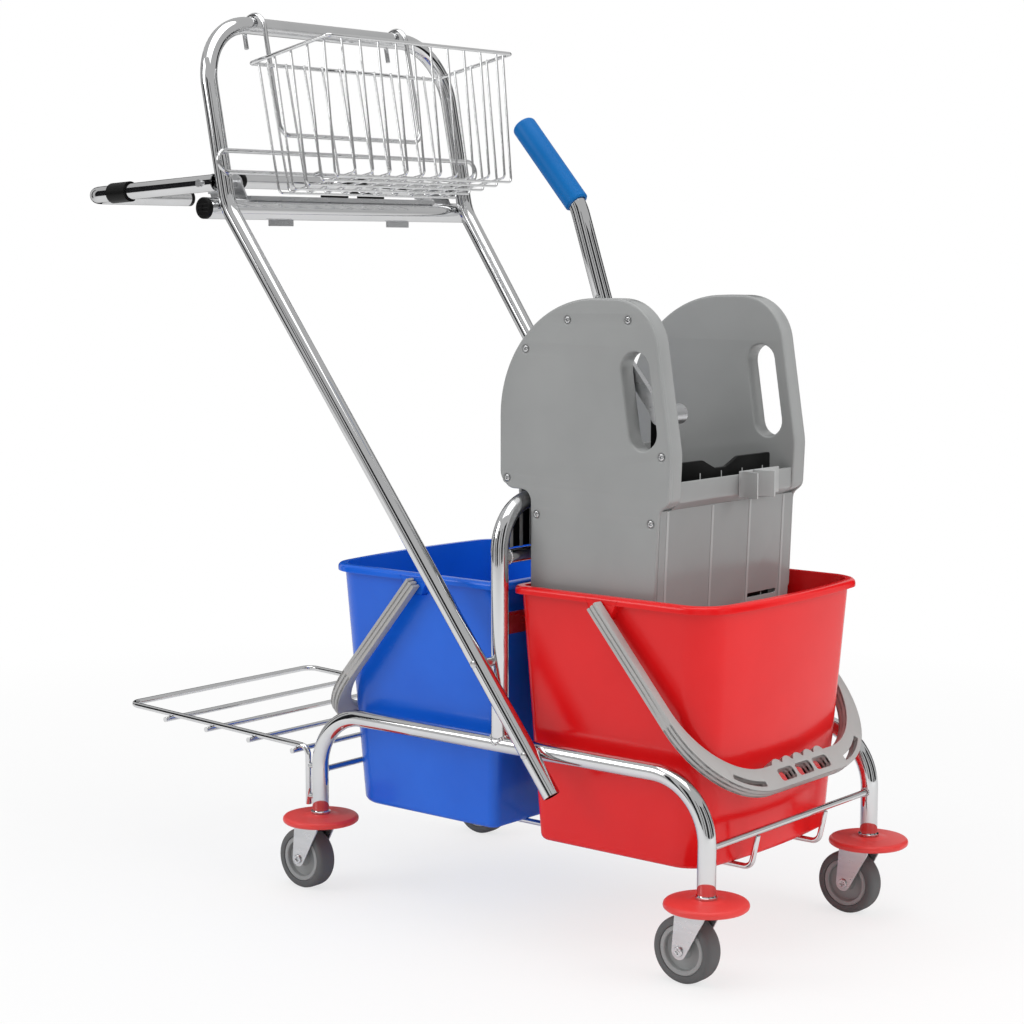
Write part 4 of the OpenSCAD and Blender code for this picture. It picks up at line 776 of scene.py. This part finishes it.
def cheek():
    dimples = [circle(x, z, DIMPLE_R) for x, z in SCREWS]
    bottom, above = DIMPLE_DEEP - CHEEK_OUT, DIMPLE_DEEP + DIMPLE_FLOOR - CHEEK_OUT
    floors = [layer([circle(x, z, DIMPLE_R + 0.8)], bottom, above, 0.1, steps=1) for x, z in SCREWS]
    outer = layer([cheek_outline(), slot_outline(), *dimples], -CHEEK_OUT, SEAM_Y - SEAM / 2, SHELL_ROUND)
    inner = layer([cheek_outline(FRONT_STEP), slot_outline()], SEAM_Y + SEAM / 2, -CHEEK_IN, SHELL_ROUND)
    core = layer([cheek_outline(FRONT_STEP), slot_outline(1)], SEAM_Y - CORE_HALF, SEAM_Y + CORE_HALF, 0.1,
        inset=0.3, steps=1)
    sleeve = layer([slot_outline(1.6), slot_outline(-0.2)], SLEEVE_IN - CHEEK_OUT, -SLEEVE_IN - CHEEK_IN, 0.1,
        steps=1)
    return joined(outer, inner, core, sleeve, *floors)


near_cheek = cheek()
far_cheek = mirrored(near_cheek, "Y")
piece(near_cheek, "near_cheek_shells", "cheek_near")
piece(far_cheek, "far_cheek_shells", "cheek_far")

# %% [markdown]
# The screws that hold the half shells are dome heads with a cross recess. The cross is a hole in the head,
# with a small disc at its bottom.

# %% Cheek screws
SCREW_R, SCREW_H = 3.9, 2.4


def cross_outline(reach, half):
    arm = [(half, reach), (half, half), (reach, half)]
    side = arm + [(y, -x) for x, y in arm]
    return side + [(-x, -y) for x, y in side]


def cross_head(place, radius, height):
    """A screw head whose top faces the place's +Z."""
    outlines = [circle(0, 0, radius), cross_outline(0.52 * radius, 0.12 * radius)]
    lifted = place @ Matrix.Translation((0, 0, height / 2 * MM))
    low = place @ Matrix.Translation((0, 0, 0.16 * height * MM))
    head = plate(outlines, height, 0.4 * height, lifted)
    floor = plate([circle(0, 0, 0.7 * radius)], 0.3 * height, 0.05, low, steps=1)
    return joined(head, floor)


sunk = DIMPLE_DEEP - CHEEK_OUT - 0.1
screws = [cross_head(placed(x, sunk, z) @ upright, SCREW_R, SCREW_H) for x, z in SCREWS]
screws += [mirrored(one, "Y") for one in screws]
piece(joined(*screws), "cross_screws", "cheek_screws", slot="chrome")

# %% [markdown]
# The tub between the cheeks is moulded too. Its front wall is a plate with a water slit that leans a
# little and reaches in front of the inner half shells. Four ridges stand on it, in a lighter grey that paints
# their highlights. A long profile makes the step and the lip, and the rear profile hooks over the arch. Side
# walls and the ledge for the sieve close it. Black sheets behind grey slats hang on the hook and close the
# gap between the arch and its lower bar; their black is painted shade for the shadowed hollow there.

# %% Wringer tub
TUB_Y, TUB_LOW, TUB_TOP, LEDGE_TOP, SHOULDER = 119.9, 320, 537, 330, 447
REAR_X, REAR_LOW_X, FRONT_X = 22, 41, 205
WALL_X, WALL_Y, WALL_T, WALL_TOP, LEAN, LEAN_FROM = 207.3, 141.5, 3, 538, 0.041, 475
RIDGES_Y, RIDGE, RIDGE_LOW = (-127, -34.5, 46, 121), 2.4, 340
sideways = Matrix(((0, 0, 1, 0), (1, 0, 0, 0), (0, 1, 0, 0), (0, 0, 0, 1)))


def block(x, y, z, round_over=0.8, segments=2):
    """A box between pairs of X, Y and Z in millimetres, with rounded edges."""
    bm = bmesh.new()
    bmesh.ops.create_cube(bm, size=1)
    for vert in bm.verts:
        vert.co = at(x[vert.co.x > 0], y[vert.co.y > 0], z[vert.co.z > 0])
    bevel(bm, list(bm.edges), round_over, segments)
    return bm


def long_profile(outline):
    """A profile in X and Z, drawn along the whole width of the tub."""
    return plate([softened(outline, 2, 3)], 2 * TUB_Y, 1.0, placed(0, 0, 0) @ upright, steps=2)


front_edge = rectangle((-WALL_Y, WALL_Y), (TUB_LOW, WALL_TOP))
slit = softened(rectangle((45, 113), (413.8, 418.8)), 2)
tub = [plate([front_edge, slit], WALL_T, 0.6, placed(WALL_X, 0, 0) @ sideways, steps=2)]
ridges = [block((WALL_X, WALL_X + RIDGE), (y - RIDGE, y + RIDGE), (RIDGE_LOW, TUB_TOP), 0.8, 5)
    for y in RIDGES_Y]
lean = Matrix.Shear("XY", 4, (LEAN, 0)) @ Matrix.Translation((0, 0, -LEAN_FROM * MM))
lean = Matrix.Translation((0, 0, LEAN_FROM * MM)) @ lean
for front in tub + ridges:
    bmesh.ops.transform(front, matrix=lean, verts=front.verts)
# The ridges take the lighter grey, which paints the highlights along them.
piece(joined(*ridges), "tub_ridges", slot="wringer_grey", body="wringer", look="painted_light_grey")
tub.append(long_profile([(200.8, 534), (206, 534), (223, 547), (223, 571.5), (220, 571.5), (220, 549),
    (207, 541), (200.8, 541)]))
tub.append(long_profile([(-20, 532), (-16, 532), (-16, 548.3), (21, 548.3), (21, 444.8), (40, 444.8),
    (40, 320), (51, 320), (51, 330), (43, 330), (43, 447.8), (24, 447.8), (24, 594), (21, 594), (21, 556.3),
    (-20, 556.3)]))
for side in (-1, 1):
    wall = sorted((side * TUB_Y, side * (TUB_Y - WALL_T)))
    ledge = sorted((side * (TUB_Y - 2), side * (TUB_Y - 11)))
    tub.append(block((REAR_LOW_X, FRONT_X), wall, (TUB_LOW, SHOULDER)))
    tub.append(block((REAR_X, FRONT_X), wall, (SHOULDER - 2, TUB_TOP)))
    tub.append(block((REAR_LOW_X, FRONT_X), ledge, (TUB_LOW, LEDGE_TOP)))
tub.append(block((195, 204), (-TUB_Y + 2, TUB_Y - 2), (TUB_LOW, LEDGE_TOP)))
tub.append(block((11.3, 22), (-30, 30), (460, 480), 1.5))
piece(joined(*tub), "tub_moulding", "wringer_tub")

SLAT_PITCH, SLAT_HALF, SLAT_DEEP, SHADE_SHEET_T = 19, 3, 4, 2
HOOK_HALF, HOOK_TOP = 114, 548
ARCH_HALF, ARCH_TOP, ARCH_R = 168.3, 525.5, 48


def under_hook(y):
    """The hook is straight, so the black sheet of painted shade below it ends at the same height at every Y.
    """
    return HOOK_TOP


def under_arch(y):
    """The highest point below the arch's bent tube at this Y."""
    past = max(0, abs(y) - (ARCH_HALF - ARCH_R))
    return ARCH_TOP - ARCH_R + math.sqrt(ARCH_R ** 2 - past ** 2)


def slatted(name, body, x, low, half, top):
    """A black sheet of painted shade from the height low up to top(y), behind a row of upright grey slats."""
    edge = [half * math.cos(math.radians(a)) for a in range(0, 181, 5)]
    outline = [(-half, low), (half, low)] + [(y, top(y)) for y in edge]
    back = plate([outline], SHADE_SHEET_T, 0.3, placed(x + 2, 0, 0) @ sideways, steps=1)
    last = int(half / SLAT_PITCH) * SLAT_PITCH
    slats = [block((x, x + SLAT_DEEP), (y - SLAT_HALF, y + SLAT_HALF), (low - 1, top(abs(y) + SLAT_HALF)), 1)
        for y in range(-last, last + 1, SLAT_PITCH)]
    # The black sheet is painted shade: it stands where the hollow behind the arch and the hook lies in
    # shadow.
    piece(back, f"{name}_shade_panel", slot="black_plastic", body=body)
    piece(joined(*slats), f"{name}_slats", slot="wringer_grey", body=body)


slatted("hook", "wringer", -21, 529, HOOK_HALF, under_hook)
slatted("arch", "chassis", -8.2, 480, ARCH_HALF, under_arch)

# %% [markdown]
# The tool clip has two springy jaws on a tab, which stands on the lip. The jaws are narrowest near the tab
# and flare towards their tips. The clip is in a lighter grey, painted light where it lies in the near cheek's
# shadow. The press plate is black with a shallow notch in its upper edge and small guide ribs in a lighter
# grey that paints their highlights, and it turns on a round bar along its lower edge.

# %% Tool clip and press plate
CLIP_X, CLIP_Y, CLIP_LOW, CLIP_HIGH, JAW_HALF_T = 238.1, 18, 543.5, 575.5, 1.3
TAB_X, TAB_NEAR, TAB_FAR = (223.1, 225.6), 15, 70
PLATE_X, PLATE_T, PLATE_HALF, PLATE_TOP = 196.1, 6, 108, 590
NOTCH_TOP_HALF, NOTCH_HALF, NOTCH_DEEP = 38, 12, 11
RIB_X, RIB_HALF, RIBS_Y, RIB_LOW, RIB_END = (198.5, 199.8), 0.8, (-90, -45, 0, 45, 90), 350, 15
HINGE_X, HINGE_Z = 190.1, 342


def jaw_outline(side):
    """One jaw from the tab to its flared tip, as an outline with the sheet's thickness."""
    middle = [(-14.5, 14.5), (-13, 12.9), (-10.5, 12), (-7.5, 11.9), (-4, 12.6), (0, 13.8), (4, 15.2),
        (8, 16.4), (12, 17.8), (14.5, 18.8)]
    inner = [(x, side * (y - JAW_HALF_T)) for x, y in middle]
    return inner + [(x, side * (y + JAW_HALF_T)) for x, y in reversed(middle)]


clip_place = placed(CLIP_X, CLIP_Y, (CLIP_LOW + CLIP_HIGH) / 2)
clip = [plate([jaw_outline(side)], CLIP_HIGH - CLIP_LOW, 0.9, clip_place) for side in (-1, 1)]
clip.append(block(TAB_X, (CLIP_Y - TAB_NEAR, CLIP_Y + TAB_FAR), (CLIP_LOW, CLIP_HIGH), 0.9))
# The clip takes the lighter grey, painted light against the near cheek's shadow.
piece(joined(*clip), "clip_moulding", "tool_clip", look="painted_light_grey")

press_edge = [(-PLATE_HALF, HINGE_Z), (PLATE_HALF, HINGE_Z), (PLATE_HALF, PLATE_TOP),
    (NOTCH_TOP_HALF, PLATE_TOP), (NOTCH_HALF, PLATE_TOP - NOTCH_DEEP), (-NOTCH_HALF, PLATE_TOP - NOTCH_DEEP),
    (-NOTCH_TOP_HALF, PLATE_TOP), (-PLATE_HALF, PLATE_TOP)]
press_place = placed(PLATE_X, 0, 0) @ sideways
press = [plate([softened(press_edge, 3)], PLATE_T, 1.2, press_place, steps=2)]
ribs = [block(RIB_X, (y - RIB_HALF, y + RIB_HALF), (RIB_LOW, PLATE_TOP - RIB_END), 0.3) for y in RIBS_Y]
# The ribs take the lighter grey, which paints the highlights along their edges.
piece(joined(*ribs), "press_ribs", slot="wringer_grey", body="press", look="painted_light_grey")
bar_profile = both_ways([(0, -113.3), (3.4, -113.3), (4, -112.6)])
press.append(turned(bar_profile, at(HINGE_X, 0, HINGE_Z), FAR, 24))
piece(joined(*press), "press_moulding", "press_plate")

# %% [markdown]
# Each caster is a fork of pressed sheet on a stem, a nylon wheel with a rubber tyre and a cross-headed axle
# bolt. The tyre and the hub are turned about the axle. All four casters trail the same way, so one is
# drawn about its own swivel and moved to each leg.

# %% Casters
AXLE_X, AXLE_Z, AXLE_R = -26, 40, 3.9
FORK_IN, FORK_T, CROWN_Z, CROWN_X, CROWN_HALF, FORK_FRONT_Z = 15.1, 2.5, 87.5, (-32, 9), 17.6, 83
AXLE_HEAD_R, NUT_R, NUT_T = 6.2, 6.4, 2.4
LEGS = {"front_near": (1, -1), "front_far": (1, 1), "rear_near": (-1, -1), "rear_far": (-1, 1)}
washer_profile = [(5.5, 0), (14, 0), (14.5, 0.4), (14.5, 1.5), (14, 1.9), (5.5, 1.9)]
stem_profile = [(0, 0), (5.5, 0), (5.5, 46), (0, 46)]
hub_profile = both_ways([(4.2, 14.5), (8.5, 14.5), (9.5, 13.6), (9.8, 7), (11, 5.2), (21.5, 5.2),
    (23.4, 6.4), (24, 11.4), (25, 12.4), (29, 12.4), (29.9, 11.6)])
tyre_profile = both_ways([(29.95, 11.6), (30.6, 13), (32, 13.5), (36, 13.3), (38.4, 12), (39.6, 9.6),
    (40, 6.4), (40, 0)])


def fork(x, y):
    top, outside = CROWN_Z + FORK_T, FORK_IN + FORK_T
    edge = [(CROWN_X[1], top), (CROWN_X[1], FORK_FRONT_Z)]
    edge += arc(AXLE_X, AXLE_Z, 10, -28, -183, 14) + [(CROWN_X[0], top)]
    parts = []
    for side in (-1, 1):
        place = placed(x, y + side * (FORK_IN + FORK_T / 2), 0) @ upright
        parts.append(plate([softened(edge, 3, 2)], FORK_T, 0.5, place, steps=2))
    crown = softened(rectangle(CROWN_X, (-CROWN_HALF, CROWN_HALF)), 5)
    parts.append(plate([crown], FORK_T, 0.6, placed(x, y, CROWN_Z + FORK_T / 2), steps=2))
    parts.append(turned(washer_profile, at(x, y, top), UP, 32))
    parts.append(turned(stem_profile, at(x, y, top), UP, 24))
    head = placed(x + AXLE_X, y - outside, AXLE_Z) @ upright
    parts.append(cross_head(head, AXLE_HEAD_R, NUT_T))
    nut = placed(x + AXLE_X, y + outside + NUT_T / 2, AXLE_Z) @ upright
    parts.append(plate([arc(0, 0, NUT_R, 0, 300, 5)], NUT_T, 0.5, nut, steps=2))
    axle_profile = both_ways([(0, -outside), (AXLE_R, -outside)])
    parts.append(turned(axle_profile, at(x + AXLE_X, y, AXLE_Z), FAR, 24))
    return joined(*parts)


for corner, (end, side) in LEGS.items():
    x, y = end * LEG_X, side * LEG_Y
    axle = at(x + AXLE_X, y, AXLE_Z)
    piece(fork(x, y), f"fork_sheet_{corner}", f"fork_{corner}")
    piece(turned(hub_profile, axle, FAR, 48), f"hub_moulding_{corner}", f"hub_{corner}")
    piece(turned(tyre_profile, axle, FAR, 64), f"tread_{corner}", f"tyre_{corner}")

# %% [markdown]
# The red bumper discs have a fat rounded edge and rise a little towards the leg. A thin collar closes each
# leg's foot.

# %% Bumpers and leg collars
bumper_profile = [(12, 92), (44, 92), (47.5, 92.6), (49.4, 94.2), (50, 96.4), (49.5, 98.8), (47.8, 100.6),
    (45, 101.4), (26, 101.9), (19, 102.6), (16.5, 103.8), (12, 104)]
collar_profile = [(11.1, 104.2), (12.6, 104.2), (13, 104.6), (13, 106.6), (12.6, 107), (11.1, 107)]
discs, collars = [], []
for end, side in LEGS.values():
    foot = at(end * LEG_X, side * LEG_Y, 0)
    discs.append(turned(bumper_profile, foot, UP, 72))
    collars.append(turned(collar_profile, foot, UP))
piece(joined(*discs), "bumper_discs", "bumper_rings", look="bumper_red")
piece(joined(*collars), "leg_collars", slot="chrome", body="chassis")

# %% [markdown]
# Each bag arm is one bent tube. It turns on the bracket's pin, runs back and bends in behind the trolley.
# Its heel reaches a little past the pin, towards the handle's leg. The wall given for its ends is thicker
# than the tube's radius, so its ends have no open bore.

# %% Bag arms
PIVOT, ARM_REACH, ARM_IN, HEEL = (-450.897, -233.836, 926), 236, 179.836, 19
ARM_BEND, ARM_WALL, DROOP_NEAR, DROOP_FAR = 32, 18, 3, -3.6


def arm_tube(droop):
    turn = placed(*PIVOT) @ Matrix.Rotation(math.radians(-droop), 4, "Y")
    path = [(HEEL, 0, 0), (-ARM_REACH, 0, 0), (-ARM_REACH, ARM_IN, 0)]
    return tube([turn @ (Vector(point) * MM) for point in path], [ARM_BEND], TUBE_D, ARM_WALL)


piece(arm_tube(DROOP_NEAR), "arm_tube_near", "bag_arm_near")
piece(mirrored(arm_tube(DROOP_FAR), "Y"), "arm_tube_far", "bag_arm_far")

# %% [markdown]
# The basket's hanger is one wire: two hooks over the handle's top bar, joined by a long low loop. The
# basket's wires are bent to a U: each goes down one wall, across the floor and up the opposite wall. A
# thicker wire is the rim. All are drawn in the basket's own tilted frame, as (u, v, w). The rail of the
# bag holder ends in slotted plugs.

# %% Basket and rail plugs
BASKET = placed(-389.099, 0, 916.299) @ Matrix.Rotation(math.radians(-11.3), 4, "Y")
HANGER_D, HANGER_BENDS = 6, [18.9, 18.9, 16, 16, 18.9, 18.9]
WIRE_D, RIM_D, LONG_WIRES, END_WIRES, CORNER = 3.2, 5, 10, 5, 6
RIM_HALF, RIM_DEPTH, RIM_H = 181, 145, 168
LONG_SPAN_HIGH, LONG_SPAN_LOW, LONG_FLOOR_U, LONG_FLOOR_W = 353.6, 343.6, 126, -1.7
END_FIRST_U, END_PITCH_HIGH, END_PITCH_LOW = 12.2, 30.15, 25.65
END_HALF_HIGH, END_HALF_LOW, END_FLOOR_W = 176.8, 175, -5


def basket_wire(points, bends, diameter, sides=14):
    return tube([BASKET @ (Vector(point) * MM) for point in points], bends, diameter, sides=sides)


def u_wire(*points):
    return basket_wire(points, [CORNER, CORNER], WIRE_D)


hanger_half = [(-44.4, -138, 201), (-44.4, -138, 241.3), (-5.6, -138, 241.3), (-5.6, -138, 77)]
hanger_points = hanger_half + [(u, -v, w) for u, v, w in reversed(hanger_half)]
piece(basket_wire(hanger_points, HANGER_BENDS, HANGER_D, WIRE_SIDES), "hanger_wire", "basket_hanger")
rear_u = (RIM_D + WIRE_D) / 2 + 0.1
front_u, top_w = RIM_DEPTH - rear_u, RIM_H + RIM_D / 2
long_wires, end_wires = [], []
for number in range(LONG_WIRES):
    share = (number - (LONG_WIRES - 1) / 2) / (LONG_WIRES + 0.4)
    high_v, low_v = LONG_SPAN_HIGH * share, LONG_SPAN_LOW * share
    long_wires.append(u_wire((rear_u, high_v, top_w), (rear_u, low_v, LONG_FLOOR_W),
        (LONG_FLOOR_U, low_v, LONG_FLOOR_W), (front_u, high_v, top_w)))
for number in range(END_WIRES):
    high_u, low_u = END_FIRST_U + END_PITCH_HIGH * number, END_FIRST_U + END_PITCH_LOW * number
    end_wires.append(u_wire((high_u, -END_HALF_HIGH, top_w), (low_u, -END_HALF_LOW, END_FLOOR_W),
        (low_u, END_HALF_LOW, END_FLOOR_W), (high_u, END_HALF_HIGH, top_w)))
piece(joined(*long_wires), "basket_long_wires", "basket_front", "basket_rear", look="wire_bright")
piece(joined(*end_wires), "basket_end_wires", "basket_side_near", "basket_side_far", "basket_floor",
    look="wire_bright")
rim_corners = [(0, 0), (0, -RIM_HALF), (RIM_DEPTH, -RIM_HALF), (RIM_DEPTH, RIM_HALF), (0, RIM_HALF), (0, 0)]
rim = basket_wire([(u, v, RIM_H) for u, v in rim_corners], [CORNER] * 4, RIM_D)
piece(rim, "basket_rim_loop", "basket_rim", look="wire_bright")

RAIL_X, RAIL_END, RAIL_Z = -434.897, 250.04, 894
BAR_HALF_LEN, BAR_HALF_H, BARS_Z = 10, 0.8, (-5, 0, 5)
plug_profile = [(0, 3.6), (3.2, 3.6), (3.6, 4.4), (9.6, 4.4), (10, 5.2), (12.4, 5.6), (13.4, 5.2), (14, 4.2),
    (14, 0.2), (0, 0.2)]
plug = turned(plug_profile, at(RAIL_X, -RAIL_END, RAIL_Z), NEAR, 48)
bars = [block((RAIL_X - BAR_HALF_LEN, RAIL_X + BAR_HALF_LEN), (-RAIL_END - 5.2, -RAIL_END - 3),
    (RAIL_Z + z - BAR_HALF_H, RAIL_Z + z + BAR_HALF_H), 0.3) for z in BARS_Z]
near_plug = joined(plug, *bars)
far_plug = mirrored(near_plug, "Y")
piece(joined(near_plug, far_plug), "slotted_plugs", "bag_rail_plugs")

# %% [markdown]
# Where tubes meet they are welded. A weld is a row of small beads, so a ring of balls of slightly uneven
# size follows the line where the two surfaces cross.

# %% Weld beads
POST_R, POST_RISE = 11.6, 11
LOWER_BAR_X, LOWER_BAR_Z, LOWER_BAR_R = 2, 470, 9
ROD_Z, ROD_R, WALL_INSET = 161, 5.2, 10.6


def beads(line, size):
    bm = bmesh.new()
    for i, place in enumerate(line):
        radius = size * (1 + 0.16 * math.sin(12.9 * i))
        bmesh.ops.create_icosphere(bm, subdivisions=2, radius=radius * MM, matrix=Matrix.Translation(place))
    return bm


def round_turn(count):
    """The cosine and sine of evenly spaced places round a ring."""
    return [(math.cos(t), math.sin(t)) for t in (2 * math.pi * i / count for i in range(count))]


welds = []
for side in (-1, 1):
    inside = side * (LEG_Y - WALL_INSET)
    post = [at(POST_R * c, side * LEG_Y + POST_R * s, SIDE_Z + POST_RISE * abs(c)) for c, s in round_turn(26)]
    lower_bar = [at(LOWER_BAR_X + LOWER_BAR_R * c, inside - side * abs(c), LOWER_BAR_Z + LOWER_BAR_R * s)
        for c, s in round_turn(20)]
    welds += [beads(post, 1.7), beads(lower_bar, 1.6)]
    for end in (-1, 1):
        rod = [at(end * LEG_X + ROD_R * c, inside, ROD_Z + ROD_R * s) for c, s in round_turn(14)]
        welds.append(beads(rod, 1.2))
piece(joined(*welds), "weld_beads", slot="chrome", body="chassis")
